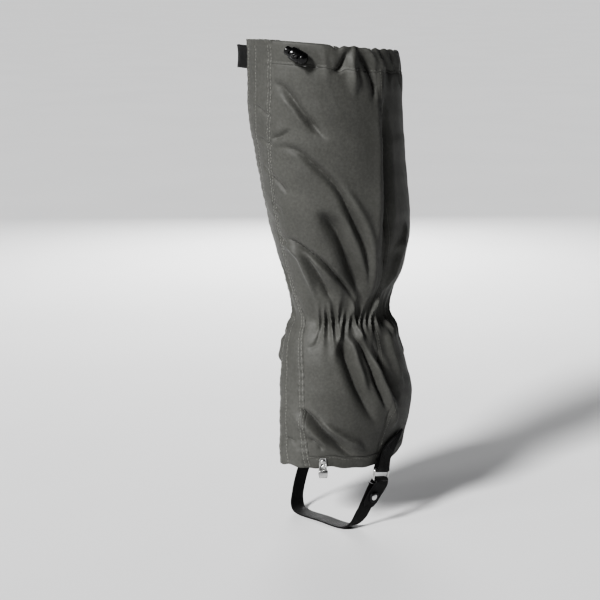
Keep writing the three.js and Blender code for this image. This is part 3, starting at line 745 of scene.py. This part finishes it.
# Each look is the name of its slot and the material in it. A material's two colours are
# its darkest and lightest, and one number stands for a grey.
FABRIC_SLOT, WEB_SLOT, TAPE_SLOT = "shell_fabric", "black_webbing", "hook_and_loop"
# The shell's dark and light tones bound its uneven dye and its painted sheen mottling.
SHELL = FABRIC_SLOT, woven(
    "shell_nylon", (0.28, 0.28, 0.268), (0.36, 0.36, 0.346), 0.54, 0.0007, 0.00006, sheen=0.07,
)
LINING = "inner_tape", woven("binding_tape", 0.10, 0.15, 0.7, 0.0008, 0.0001, sheen=0.15)
HOOKS = TAPE_SLOT, tape("hook_tape", (0.05, 0.05, 0.055), (0.11, 0.11, 0.115), 1500, 0.0003)
LOOPS = TAPE_SLOT, tape("loop_tape", 0.06, 0.14, 900, 0.0004)
WEB = WEB_SLOT, webbing("black_webbing", (0.025, 0.025, 0.027), (0.065, 0.065, 0.068), 0.0011, 0.00014)
ELASTIC = "elastic", webbing("knit_elastic", 0.05, 0.12, 0.0016, 0.0003)
CORD = "black_cord", braid("braided_cord", 0.04, 0.10)
THREAD = FABRIC_SLOT, braid("stitch_thread", (0.4, 0.4, 0.385), (0.52, 0.52, 0.5))
FAINT_THREAD = FABRIC_SLOT, braid("faint_thread", (0.34, 0.34, 0.33), (0.44, 0.44, 0.42))
DARK_THREAD = WEB_SLOT, braid("dark_thread", 0.10, 0.17)
GLOSS = "black_plastic", plastic("black_gloss_plastic", (0.03, 0.03, 0.032), (0.06, 0.06, 0.062))
STEEL = "steel", metal("bright_steel", 0.74, (0.86, 0.86, 0.85), 0.24)
DARK = "dark_metal", metal("black_oxide_steel", (0.16, 0.16, 0.165), (0.26, 0.26, 0.265), 0.34)

# ---- Stitches ----

STITCH_RINGS, STITCH_SIDES = 7, 8


def stitches(name, path, outward, body, look, pitch=3.4, length=2.6, radius=0.32):
    """A row of arched stitches along a dense path that lies in the cloth's surface."""
    path, outward = np.asarray(path, float), unit(outward)
    travelled = lengths_along(path[:, None], 0)[:, 0]
    count = int(travelled[-1] / pitch)
    centres = (np.arange(count) + 0.5) * pitch
    ring = np.linspace(-1, 1, STITCH_RINGS)
    spots = centres[:, None] + ring[None] * length / 2
    along, facing = (
        np.stack([np.interp(spots, travelled, values[:, k]) for k in range(3)], axis=-1)
        for values in (path, outward)
    )
    facing = unit(facing)
    way = unit(along[:, -1] - along[:, 0])[:, None]
    side = unit(np.cross(way, facing))
    lift = 0.24 * (1 - ring**4) - 0.12  # the ends dip into the cloth
    thick = radius * np.sqrt(1 - 0.85 * ring**6)
    turns = all_round(STITCH_SIDES)
    x, y = thick[:, None] * np.cos(turns), thick[:, None] * np.sin(turns)
    points = rings_about(along + facing * lift[:, None], side, facing, x, y)
    faces = []
    wrap = np.arange(STITCH_SIDES + 1) % STITCH_SIDES
    for index in np.arange(points.size // 3).reshape(count, STITCH_RINGS, STITCH_SIDES):
        faces += quads(index[:, wrap]).tolist()
        faces += [index[0, ::-1].tolist(), index[-1].tolist()]
    uv = np.stack(np.broadcast_arrays(turns, spots[..., None]), axis=-1)
    return mesh_piece(name, points, faces, body, look, uv)


def sew(name, path, body, look, **sizes):
    """A row of stitches along a path on the cloth."""
    return stitches(name, path, path - on_axis(path), body, look, **sizes)


# ---- Camera, floor and light ----

LIT_SPOT = Vector((0, 0, 0.2))


def aim(thing, way):
    """Turns a camera or light to look along a direction."""
    thing.rotation_euler = Vector(way).to_track_quat("-Z", "Y").to_euler()


def add_camera():
    lens = bpy.data.cameras.new("camera")
    lens.lens, lens.sensor_width = 104.6, 36
    lens.shift_x, lens.shift_y = -0.0667, -0.0057
    camera = linked("camera", lens)
    azimuth, pitch, away, height = radians(45), radians(12), 1.8, 0.55
    x, y = sin(azimuth), -cos(azimuth)
    camera.location = (away * x, away * y, height)
    aim(camera, (-x * cos(pitch), -y * cos(pitch), -sin(pitch)))
    bpy.context.scene.camera = camera


def add_softbox(name, place, size, power):
    lamp = bpy.data.lights.new(name, "AREA")
    lamp.shape, lamp.size, lamp.energy = "DISK", size, power
    light = linked(name, lamp)
    light.location = place
    aim(light, LIT_SPOT - Vector(place))


def add_floor():
    mesh = bpy.data.meshes.new("floor")
    reach, level = 30, -0.0742
    corners = [(-reach, -reach), (reach, -reach), (reach, reach), (-reach, reach)]
    mesh.from_pydata([(x, y, level) for x, y in corners], [], [(0, 1, 2, 3)])
    floor = linked("floor", mesh)
    paint = Paint("pale_floor", 0.9, 0.9, Specular_IOR_Level=0.1)
    paint.tones(paint.noise(4, 2), 0.895, 0.905)
    mesh.materials.append(paint.material)


def add_light():
    world = bpy.data.worlds.new("studio")
    world.use_nodes = True
    background = world.node_tree.nodes["Background"]
    background.inputs["Color"].default_value = (0.93, 0.95, 1, 1)
    background.inputs["Strength"].default_value = 0.07
    bpy.context.scene.world = world
    bpy.context.scene.view_settings.look = "AgX - High Contrast"
    sun = bpy.data.lights.new("soft_key", "SUN")
    sun.energy, sun.angle = 4.5, radians(12)
    aim(linked("soft_key", sun), (-0.13, 1.0, -0.66))
    add_softbox("left_softbox", (-0.5, -1.7, 0.9), 0.5, 4)
    add_softbox("back_softbox", (-1.3, 1.2, 0.7), 0.9, 16)


add_camera()
add_floor()
add_light()

# ---- Fabric panels ----

ROWS = 280


def panel_z(v, angle, gap=GAP):
    """Heights from a gap above the hem to a gap below the casing, as v goes from 0 to 1."""
    low = hem_at(angle) + HEM_H + gap
    return low + (rim_at(angle) - CASING_H - gap - low) * v


def panel(name, across, columns, node):
    """A panel from the hem to the casing; across(u, v) gives its angles and an offset function."""
    v = np.linspace(0, 1, ROWS)[:, None]
    u = np.linspace(0, 1, columns)[None, :]
    angle, offset = across(u, v)
    piece = shell(name, cloth(angle, panel_z(v, angle), offset(angle)), CLOTH, "shaft", SHELL)
    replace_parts(piece, node)
    return piece


SEAM = radians(0.03)
TUCKED = 4  # the inner layer ends this far beyond the placket
NO_DIP = np.zeros_like


def front_outer(u, v):
    z = panel_z(v, radians(45))
    root = angle_at_x(placket_x(z) + GAP, z)
    return root + (radians(90) - SEAM - root) * u, NO_DIP


def rear(u, v):
    first, last = radians(90) + SEAM, radians(270) - SEAM
    return first + (last - first) * u + 0 * v, NO_DIP


def front_inner(u, v):
    z = panel_z(v, radians(330))
    first = radians(270) + SEAM
    return first + (FULL + angle_at_x(placket_x(z) + TUCKED, z) - first) * u, dip


outer_panel = panel("front_outer_cloth", front_outer, 84, "front_outer_panel")
rear_panel = panel("rear_cloth", rear, 168, "rear_panel")
inner_panel = panel("front_inner_cloth", front_inner, 92, "front_inner_panel")


def strip(name, angle, z, offset, thickness, look, node):
    """A strip inside the cloth, which follows its hollows but not its crests."""
    relief = np.minimum(folds(angle, z), 0)
    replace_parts(shell(name, on_leg(angle, z, offset + relief), thickness, "shaft", look), node)


def add_seam(side, middle):
    """The tape inside a side seam, and a row of stitches beside the seam."""
    v = np.linspace(0, 1, 140)[:, None]
    angle = np.radians(middle + np.linspace(-5, 5, 9))[None, :] + 0 * v
    strip(f"{side}_tape", angle, panel_z(v, angle, 1), -CLOTH - 0.6, 0.8, LINING, f"{side}_seam_tape")
    z = np.linspace(14, 414, 500)
    path = cloth(radians(middle) + 3.2 / radius_at(z), z, 0.05)
    sew(f"{side}_seam_stitches", path, "shaft", FAINT_THREAD, pitch=3.0, length=2.2, radius=0.22)


add_seam("outer", 90)
add_seam("inner", 270)

# ---- Front flap ----

FLAP_ROWS = np.linspace(0, 1, 300)[:, None]


def flap_offset(u, z):
    """The flap's free edge stands off the leg near the rim."""
    return FLAP_STANDOFF * smooth(z, 250, 400) * share(u, 0, FLAP_W) ** 2


def by_placket(u, z, offset):
    """Points on the cloth at distances u from the placket."""
    return cloth(angle_at_x(placket_x(z) - u, z), z, offset)


def to_rim(u, low, below):
    """Heights from low up to below the rim, at distances u from the placket."""
    top = rim_at(angle_at_x(placket_x(RIM_Z) - u, RIM_Z)) - below
    return low + (top - low) * FLAP_ROWS


SEWN = (1.6, 5.4, 24.5, 35.6)  # rows of stitches on the flap, from its root
TAPE_ACROSS = np.linspace(1, 1 + TAPE_W, 12)[None, :]


def quilting(u, z):
    """The flap dips along its rows of stitches and is full between them."""
    beside = [u - row for row in SEWN]
    dips = sum(0.45 * bell(away, 1.1) for away in beside)
    pucker = 0.26 * np.sin(z * FULL / 8.3 + 2 * np.sin(z / 17))
    return pucker * sum(bell(away, 4) for away in beside) - dips


def add_flap():
    """The flap's cloth and its rows of stitches, and the hook tape behind it."""
    u = np.linspace(0, FLAP_W, 42)[None, :]
    z = to_rim(u, low=0, below=0)
    grid = by_placket(u, z, flap_offset(u, z) + quilting(u, z))
    flap = shell("front_flap_cloth", grid, CLOTH, None, SHELL)
    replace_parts(flap, "front_flap_upper", "front_flap_lower")
    z = to_rim(TAPE_ACROSS, low=15, below=6)
    grid = by_placket(TAPE_ACROSS, z, -CLOTH - 0.5 + flap_offset(TAPE_ACROSS, z))
    hooks = shell("hook_tape", grid, TAPE_T, None, HOOKS)
    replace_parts(hooks, "hook_tape_upper", "hook_tape_lower")
    made = [flap]
    z = np.linspace(1.5, 436, 700)
    for k, row in enumerate(SEWN):
        path = by_placket(row, z, flap_offset(row, z) + quilting(row, z))
        made.append(sew(f"flap_stitches_{k + 1}", path, None, THREAD))
    for piece in [*made, hooks]:
        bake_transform(piece)
    return made


flap_pieces = add_flap()


def add_closure():
    """The loop tape under the flap, and the pull tab on the flap's free edge."""
    z = to_rim(TAPE_ACROSS, low=16, below=10)
    grid = by_placket(TAPE_ACROSS, z, 1.0 - UNDERLAP + 0.7)
    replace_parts(shell("loop_tape", grid, TAPE_T, "shaft", LOOPS), "loop_tape")
    tab_end = FLAP_W + 13
    u = np.linspace(FLAP_W - 9, tab_end, 24)[None, :]
    z = np.linspace(410, 433, 26)[:, None]
    lift = flap_offset(np.minimum(u, FLAP_W), z) - CLOTH - 0.4 + TAB_RISE * np.maximum(u - FLAP_W, 0)
    curl = 0.5 * smooth(u, FLAP_W, tab_end) * np.cos(z * 0.2)
    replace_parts(shell("pull_tab_web", by_placket(u, z, lift + curl), 2.2, "flap", WEB), "pull_tab")


add_closure()

# ---- Rim casing and drawcord ----

CASING_ENDS = (
    float(angle_at_x(placket_x(RIM_Z) + 1, RIM_Z)),
    FULL + float(angle_at_x(placket_x(RIM_Z) + TUCKED, RIM_Z)),
)
LOCK_ANGLE, LOCK_DROP, LOCK_TILT = radians(29), 12.5, radians(27)
LOCK_R, LOCK_STANDOFF, PLUNGER_R = 6.5, 1.0, 4.4
lock_z = float(rim_at(LOCK_ANGLE)) - LOCK_DROP
lock_out = lean_normal(LOCK_ANGLE, lock_z)
lock_side = unit(np.cross([0, 0, 1], lock_out))
plunger_way = -cos(LOCK_TILT) * lock_side + sin(LOCK_TILT) * np.cross(lock_out, lock_side)
lock_foot = on_leg(LOCK_ANGLE, lock_z)
LOCK_FRAME = local_frame(plunger_way, lock_out, lock_foot + lock_out * (LOCK_R + LOCK_STANDOFF))
STRANDS = (2.2, -0.6)
STRAND_MIDDLE = sum(STRANDS) / 2
eyelet_foot = lock_foot - lock_out * CASING_WALL / 2
EYELET_FRAME = local_frame(plunger_way, lock_out, eyelet_foot)
HOLE_FRAME = local_frame(plunger_way, lock_out, eyelet_foot + plunger_way * STRAND_MIDDLE)
SLOT = (-2.15, 3.75)
SLOT_DEPTH = 30
PLUNGER_TRAVEL = 3.4
COIL_FOOT, COIL_H, COIL_R, COIL_TURNS, COIL_WIRE = -8.7, 4.2, 3.4, 3, 0.6
CORD_D = 2.4


def casing_outline(inset):
    """The folded tube's section as offset and drop below the rim."""
    outer = [
        (-0.2, -23), (0.05, -22.3), (0, -21.6), (-0.35, -20.6), (0.05, -19.6), (0.3, -17.5), (0.6, -14),
        (0.65, -12), (0.45, -8.5), (0.1, -5), (-0.15, -2.6), (-0.7, -1), (-1.7, -0.2), (-2.8, 0),
    ]
    inner = [(-CASING_T - offset, drop) for offset, drop in outer[-2:0:-1]]
    outline = np.array([*outer, *inner, (-CASING_T + 0.3, -CASING_H)])
    half = np.array([CASING_T / 2, CASING_H / 2])
    return -half + (outline + half) * (1 - inset / half)


def casing_rings(inset):
    outline = casing_outline(inset)
    offset, drop = outline[None, :, 0], outline[None, :, 1]
    level = float(rim_at(CASING_ENDS[0])) + drop
    first = angle_at_x(placket_x(level) + GAP, level)
    angle = first + (CASING_ENDS[1] - first) * np.linspace(0, 1, 340)[:, None]
    return cloth(angle, rim_at(angle) + drop, offset + dip(angle))


def drum(name, radius, half, matrix):
    """A plain cylinder for cutting holes, along the local z axis."""
    profile = [[0, -half], [radius, -half], [radius, half], [0, half]]
    return lathe(name, profile, "z", matrix, "shaft", WEB, rounding=0.01, sides=32)


def add_casing():
    casing = loft("rim_casing_cloth", casing_rings(0), "shaft", SHELL, bores=casing_rings(CASING_WALL))
    carve(casing, drum("cord_hole", 4.1, 2.4, HOLE_FRAME))
    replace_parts(casing, "rim_casing")
    angle = np.linspace(CASING_ENDS[0] + 0.03, FULL - 0.75, 900)
    sew("casing_stitches", cloth(angle, rim_at(angle) - 20.6, -0.7), "shaft", FAINT_THREAD)


add_casing()


def slot_cutter(name, low, high):
    """An upright slot for the cord through the lock, rounded at its two ends."""
    r = (CORD_D + 0.7) / 2
    arc = np.linspace(0, pi, 14)
    top = np.stack([r * np.cos(arc), high - r + r * np.sin(arc)], axis=-1)
    bottom = np.stack([-r * np.cos(arc), low + r - r * np.sin(arc)], axis=-1)
    outline = np.concatenate([top, bottom])
    rings = [
        np.column_stack([outline, np.full(len(outline), z)]) for z in (-SLOT_DEPTH / 2, SLOT_DEPTH / 2)
    ]
    return loft(name, placed(rings, LOCK_FRAME), "shaft", WEB)


def add_cord_lock():
    r = LOCK_R
    barrel = lathe(
        "lock_barrel",
        [[0, -11.4], [2.6, -11.2], [4.8, -10.1], [6.1, -8.2], [r, -5.6], [r, -4.9], [6.2, -4.5],
         [6.2, -4.1], [r, -3.7], [r, 4.6], [6.2, 6.4], [5.6, 7.6], [4.75, 7.6], [4.75, -9.2], [0, -9.2]],
        "y", LOCK_FRAME, "cord_lock", GLOSS, rounding=0.5,
    )
    carve(barrel, slot_cutter("barrel_slot", *SLOT))
    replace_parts(barrel, "cord_lock_barrel")
    plunger = lathe(
        "lock_plunger",
        [[0, -4], [PLUNGER_R, -4], [PLUNGER_R, 12.2], [3.6, 13.3], [2, 13.7], [0, 13.7]],
        "y", LOCK_FRAME, "plunger", GLOSS, rounding=0.6,
    )
    carve(plunger, slot_cutter("plunger_slot", SLOT[0], SLOT[1] + PLUNGER_TRAVEL))
    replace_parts(plunger, "cord_lock_plunger")


def add_spring():
    t = np.linspace(0, 1, 160)
    turn = t * COIL_TURNS * FULL
    coil = np.stack([COIL_R * np.cos(turn), COIL_FOOT + COIL_H * t, COIL_R * np.sin(turn)], axis=-1)
    path = placed(coil, LOCK_FRAME)
    spring = sweep("lock_spring", path, COIL_WIRE / 2, "cord_lock", STEEL, sides=10)
    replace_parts(spring, "cord_lock_spring")
    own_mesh(spring)


add_cord_lock()
add_spring()


def add_eyelet():
    profile = [
        [2.95, -1.3], [4.4, -1.3], [4.4, -0.9], [3.6, -0.9], [3.6, 0.85], [4.9, 0.85], [4.9, 1.15],
        [3.9, 1.5], [3.2, 1.45], [2.95, 1.1],
    ]
    eyelet = lathe("eyelet", profile, "z", HOLE_FRAME, "shaft", GLOSS, rounding=0.2)
    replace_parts(eyelet, "cord_eyelet")


add_eyelet()


def add_drawcord():
    """One cord: anchored at the front, out through the lock and back, and round the leg."""
    def in_casing(angle):
        return cloth(angle, rim_at(angle) - LOCK_DROP, -CASING_T / 2 + dip(angle))

    def near(along, across, out):
        return placed([across, along, out], EYELET_FRAME)

    def under(strand, side, deep):
        return near(strand, 0, -deep) + lock_side * side

    left, right = STRANDS
    sides_below = ((3.4, 2.7), (1.9, 2.72), (0.85, 2.45), (0.3, 1.9))
    loop = [
        near(left, 0, -0.9), near(left, 0, 8), near(left, 0, 18.6), near(left + 0.6, -0.2, 20.4),
        near(left + 0.4, -0.5, 22.2), near(STRAND_MIDDLE, -0.7, 23.6), near(right - 0.4, -0.5, 22.2),
        near(right - 0.6, -0.2, 20.4), near(right, 0, 18.6), near(right, 0, 8), near(right, 0, -0.9),
    ]
    end = radians(0.5)
    first = np.linspace(CASING_ENDS[0] + end, LOCK_ANGLE - radians(7), 4)
    last = np.linspace(LOCK_ANGLE + radians(6), CASING_ENDS[1] - end, 130)
    route = [
        *(in_casing(angle) for angle in first),
        *(under(left, -side, deep) for side, deep in sides_below),
        *loop,
        *(under(right, side, deep) for side, deep in sides_below[::-1]),
        *(in_casing(angle) for angle in last),
    ]
    path = catmull(route, np.linspace(0, 1, 1300))
    cord = sweep("drawcord_braid", path, CORD_D / 2, "shaft", CORD, sides=14)
    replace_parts(cord, "drawcord")


add_drawcord()

# ---- Ankle and hem ----


def add_ankle():
    """The elastic round the ankle and the cover on its inner side."""
    up = np.linspace(-0.5, 0.5, 12)[:, None]
    angle = np.radians(np.linspace(22, 330, 240))[None, :] + 0 * up
    inside = -CLOTH - 1.5 + dip(angle)
    z = ANKLE_Z + up * ELASTIC_H + 0 * angle
    strip("elastic_band", angle, z, inside, 1.2, ELASTIC, "ankle_elastic")
    z = ANKLE_Z + up * (ELASTIC_H + 8) + 0 * angle
    strip("elastic_lining", angle, z, inside - 1.55, 0.9, LINING, "elastic_cover")


add_ankle()

RIVET_HOLE_R = 1.7
hook_angle = radians(40)
hook_foot = on_leg(hook_angle, 6.7)
hook_out = unit(on_leg(hook_angle, 6.7, 1) - hook_foot)
HOOK_FRAME = local_frame([0, 0, -1], hook_out, hook_foot)


def add_hem():
    outline = np.array([
        (-0.5, -0.1), (-0.1, 0.4), (0.15, 1.4), (0.2, 4), (0.1, 7.5), (0, 9), (-0.3, 9.8), (-0.05, 10.6),
        (0.05, 11.4), (-0.35, 11.9), (-2.3, 11.9), (-HEM_T, 11), (-HEM_T, 1), (-2.2, 0), (-1.3, -0.25),
    ])
    offset, drop = outline[None, :, 0], outline[None, :, 1]
    first = angle_at_x(placket_x(drop) + GAP, drop)
    last = FULL + angle_at_x(placket_x(drop) + TUCKED, drop)
    angle = first + (last - first) * np.linspace(0, 1, 330)[:, None]
    level = drop + hem_at(angle)
    hem = loft("hem_binding", cloth(angle, level, offset + dip(angle)), "shaft", SHELL)
    carve(hem, drum("rivet_hole", RIVET_HOLE_R, 5, HOOK_FRAME))
    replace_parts(hem, "bottom_hem")
    line = np.linspace(float(first[0, 0]) + 0.03, FULL - 0.9, 900)
    sew("hem_stitches", cloth(line, 9.8 + hem_at(line), -0.5), "shaft", FAINT_THREAD)


add_hem()

# ---- Lace hook ----


def add_lace_hook():
    """A bent plate, drawn from the side as distance out and down from the rivet, and its rivet."""
    near, thick, gap, top, bottom, width = 0.35, 1.1, 6.2, -3.8, 12, 9
    bend = gap / 2 + thick
    centre = near + bend
    tip = near + 2 * bend
    down, back = np.linspace(pi, 0, 28), np.linspace(0, pi, 28)
    outer = [(centre + bend * cos(a), bottom + bend * sin(a)) for a in down]
    inner = [
        (centre + (bend - thick) * cos(a), bottom + (bend - thick) * sin(a)) for a in back
    ]
    lip = [(tip + 0.25, 7.6), (tip - 0.2, 7.1), (tip - thick + 0.3, 7.2), (tip - thick, 7.9)]
    flat = np.array([(near, top), *outer, *lip, *inner, (near + thick, top)])
    taper = np.interp(flat[:, 1], [top, -1, bottom, 16], [0.72, 1, 1, 0.9])
    to_middle = unit(flat.mean(axis=0) - flat)
    rings = []
    for place, shrink in ((-1, 0.16), (-0.93, 0), (0.93, 0), (1, 0.16)):
        out, below = (flat + to_middle * shrink).T
        rings.append(np.column_stack([place * width / 2 * taper, below, out]))
    hook = loft("hook_plate", placed(rings, HOOK_FRAME), "shaft", STEEL)
    carve(hook, drum("plate_hole", RIVET_HOLE_R, 3, HOOK_FRAME))
    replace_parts(hook, "lace_hook")
    rivet = lathe(
        "hook_rivet_head",
        [[0, -4.2], [2.6, -4.2], [2.6, -3.3], [1.3, -3.3], [1.3, 1.8], [2.9, 1.8], [2.3, 2.7], [0, 3]],
        "z", HOOK_FRAME, "shaft", STEEL, rounding=0.4,
    )
    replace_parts(rivet, "hook_rivet")


add_lace_hook()

# ---- Instep strap and buckle ----

STRAP_W, STRAP_T, TIP_T, TAB_T, SOLE_Z = 18, 2.0, 1.7, 1.5, -71
RING_WIRE, LOOSE, RING_H, RING_W = 2.6, 1, 15, 23.5
ring_lean = radians(12)
UP = np.array([0, sin(ring_lean), cos(ring_lean)])
ALONG = np.array([0, cos(ring_lean), -sin(ring_lean)])
OUT = np.array([1.0, 0, 0])
RING_MIDDLE = np.array([57.4, 3.5, -16.5])
BAR_GAP = (RING_H - RING_WIRE) / 2
TOP_BAR, LOW_BAR = RING_MIDDLE + UP * BAR_GAP, RING_MIDDLE - UP * BAR_GAP
BIGHT = (RING_WIRE + STRAP_T) / 2 + LOOSE
HALF = STRAP_W / 2


def round_bar(middle, radius, first, last, half=HALF):
    """Keys round a bar, from one angle to another; 0 faces out and 90 faces up."""
    turns = np.radians(np.linspace(first, last, 7))
    facings = [OUT * cos(turn) + UP * sin(turn) for turn in turns]
    return [(middle + facing * radius, facing, half) for facing in facings]


def on_side(side, y, z, offset, half=HALF):
    """A key on the gaiter's side; side is 1 on the outer side and -1 on the inner."""
    cosine = (curve_at(SECTIONS, 1, z) - y) / curve_at(SECTIONS, 3, z)
    angle = side * acos(cosine)
    point = on_leg(angle, z, offset)
    return point, unit(on_leg(angle, z, offset + 1) - point), half


def on_boot(x, y, z, half=HALF):
    """A key on the side of the boot."""
    return np.array([x, y, z]), unit([x, 0, (z - SOLE_Z) * 0.12]), half


def band_frames(keys, t):
    """A band's middle, sideways and outward directions and half width at t from 0 to 1."""
    points, facings, halves = (np.array([key[k] for key in keys], float) for k in range(3))
    ahead, behind = (catmull(points, np.clip(t + step, 0, 1)) for step in (1e-3, -1e-3))
    tangent = unit(ahead - behind)
    across = unit(np.cross(catmull(facings, t), tangent))
    half = np.interp(t, np.linspace(0, 1, len(keys)), halves)
    return catmull(points, t), across, np.cross(tangent, across), half


def band(name, keys, rows, thickness, body):
    """Webbing along keys of point, outward direction and half width."""
    path, across, normal, half = band_frames(keys, np.linspace(0, 1, rows))
    turns = all_round(40)
    wide = np.sign(np.cos(turns)) * np.abs(np.cos(turns)) ** 0.35
    tall = np.sign(np.sin(turns)) * np.abs(np.sin(turns)) ** 0.7
    edge = 1 + 0.06 * bell(np.abs(wide) - 0.9, 0.06)
    x, y = half[:, None] * wide, thickness / 2 * tall * edge
    return loft(name, rings_about(path, across, normal, x, y), body, WEB)


def sew_box(name, keys, thickness, corners):
    """Stitches on a band's outer face; a corner is a place along it and a share of its half width."""
    dense = np.linspace(0, 1, 300)
    steps = np.linspace(0, 1, len(corners))
    t, side = (np.interp(dense, steps, values) for values in zip(*corners))
    path, across, normal, half = band_frames(keys, t)
    path = path + across * (half * side)[:, None] + normal * thickness / 2
    stitches(name, path, normal, "shaft", DARK_THREAD, pitch=2.4, length=1.8)


def add_tab():
    """The tab from the hem, round the ring's top bar and back up to a point on the cloth."""
    inner = 0.7 + TAB_T / 2
    outer = inner + TAB_T + 0.35
    keys = [
        on_side(1, 17.5, 9, inner), on_side(1, 12, 2.5, inner),
        *round_bar(TOP_BAR, (RING_WIRE + TAB_T) / 2 + LOOSE, 180, 360),
        on_side(1, 12, 2.5, outer + 0.5), on_side(1, 18, 9, outer),
        on_side(1, 27, 16.5, outer, HALF * 0.62), on_side(1, 38, 25, outer, 1.6),
    ]
    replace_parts(band("strap_tab_web", keys, 150, TAB_T, "shaft"), "outer_strap_tab")
    low, wide, neck, high, narrow = 9.9, 0.78, 11.2, 11.8, 0.3
    box = [
        (low, -wide), (low, wide), (neck, 0.7), (high, narrow), (high, -narrow), (neck, -0.7), (low, -wide),
    ]
    sew_box("tab_stitches", keys, TAB_T, [(place / (len(keys) - 1), side) for place, side in box])


add_tab()


def add_ring():
    w, h, r = (RING_W - RING_WIRE) / 2, BAR_GAP, 3
    corners = [(w - r, h - r, 0), (r - w, h - r, 90), (r - w, r - h, 180), (w - r, r - h, 270)]
    loop = [
        RING_MIDDLE + ALONG * (x + r * cos(turn)) + UP * (y + r * sin(turn))
        for x, y, first in corners
        for turn in np.radians(np.linspace(first, first + 90, 12))
    ]
    ring = sweep("buckle_ring", loop, RING_WIRE / 2, "buckle", STEEL, sides=28, closed_normal=OUT)
    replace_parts(ring, "strap_ring")


add_ring()


def add_strap():
    """The strap from the inner side, under the instep and round the ring's low bar."""
    sewn = 0.35 + STRAP_T / 2
    under = SOLE_Z - STRAP_T / 2
    keys = [
        on_side(-1, 22, 21, sewn), on_side(-1, 16, 8, sewn), on_side(-1, 8, -6, sewn),
        on_boot(-53.4, 3, -20), on_boot(-52.4, -7, -38), on_boot(-48.5, -17, -57),
        ((-42.5, -22.5, -68.5), (-0.75, 0, -0.65), HALF),
        ((-34, -25, under), (-0.1, 0, -1), HALF),
        ((0, -26, under), (0, 0, -1), HALF),
        ((34, -25, under), (0.1, 0, -1), HALF),
        ((42.5, -22.5, -68.5), (0.75, 0, -0.65), HALF),
        on_boot(48.5, -16, -57), on_boot(50.8, -11.05, -46.7), on_boot(52.4, -5.5, -36),
        *round_bar(LOW_BAR, BIGHT, 180, 0),
    ]
    strap = band("instep_strap_web", keys, 420, STRAP_T, None)
    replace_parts(strap, "instep_strap", "buckle_strap")
    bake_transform(strap)
    top, low, wide = 0.006, 0.075, 0.76
    box = [(top, -wide), (low, -wide), (low, wide), (top, wide), (top, -wide)]
    sew_box("strap_box_stitches", keys, STRAP_T, box)


add_strap()

bight_end = LOW_BAR + OUT * BIGHT
TIP_KEYS = [
    (bight_end - UP * 0.35, OUT, HALF), (bight_end - UP * 2.5, OUT, HALF),
    on_boot(58.4, -1.2, -31), on_boot(56.2, -4.6, -37), on_boot(54.6, -8, -43),
    on_boot(53.1, -10.2, -47, STRAP_W * 0.45), on_boot(52.4, -12, -50.3, STRAP_W * 0.27),
]
SNAP_PLACE = np.array([0.56])  # along the loose end
middle, sideways, outward = (value[0] for value in band_frames(TIP_KEYS, SNAP_PLACE)[:3])
SNAP_FRAME = local_frame(np.cross(outward, sideways), outward, middle - outward * TIP_T / 2)


def add_tip():
    """The strap's loose end, and the two halves of its snap."""
    tip = band("strap_tip_web", TIP_KEYS, 110, TIP_T, "loose_end")
    carve(tip, drum("cap_hole", 3.0, 6, SNAP_FRAME))
    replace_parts(tip, "strap_tip")
    top, recess = TIP_T + 0.35, 1.75
    cap = lathe(
        "snap_dome",
        [[0, 2.1], [recess, 2.1], [recess, 0.1], [2.7, 0.1], [2.7, top], [6, top], [6, top + 0.4],
         [5.2, top + 1.3], [4.0, top + 1.35], [3.6, top + 1.0], [3.1, top + 1.35], [1.8, top + 1.85],
         [0, top + 1.9]],
        "z", SNAP_FRAME, "loose_end", (*DARK, STEEL[1]), rounding=0.35,
    )
    to_local = np.linalg.inv(SNAP_FRAME)
    for face in cap.data.polygons:
        x, y, z = placed(np.array(face.center) / MM, to_local)
        face.material_index = int(hypot(x, y) < 3.4 and z > top + 0.9)
    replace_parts(cap, "snap_cap")
    stud = lathe(
        "snap_post",
        [[0, -4.8], [2.5, -4.8], [2.5, -4.2], [1.1, -4.2], [1.1, -1], [4.2, -1], [4.2, -0.35],
         [1.3, -0.35], [1.3, 1.1], [0.9, 1.5], [0, 1.5]],
        "z", SNAP_FRAME, "buckle", STEEL, rounding=0.15,
    )
    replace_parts(stud, "snap_stud")


add_tip()
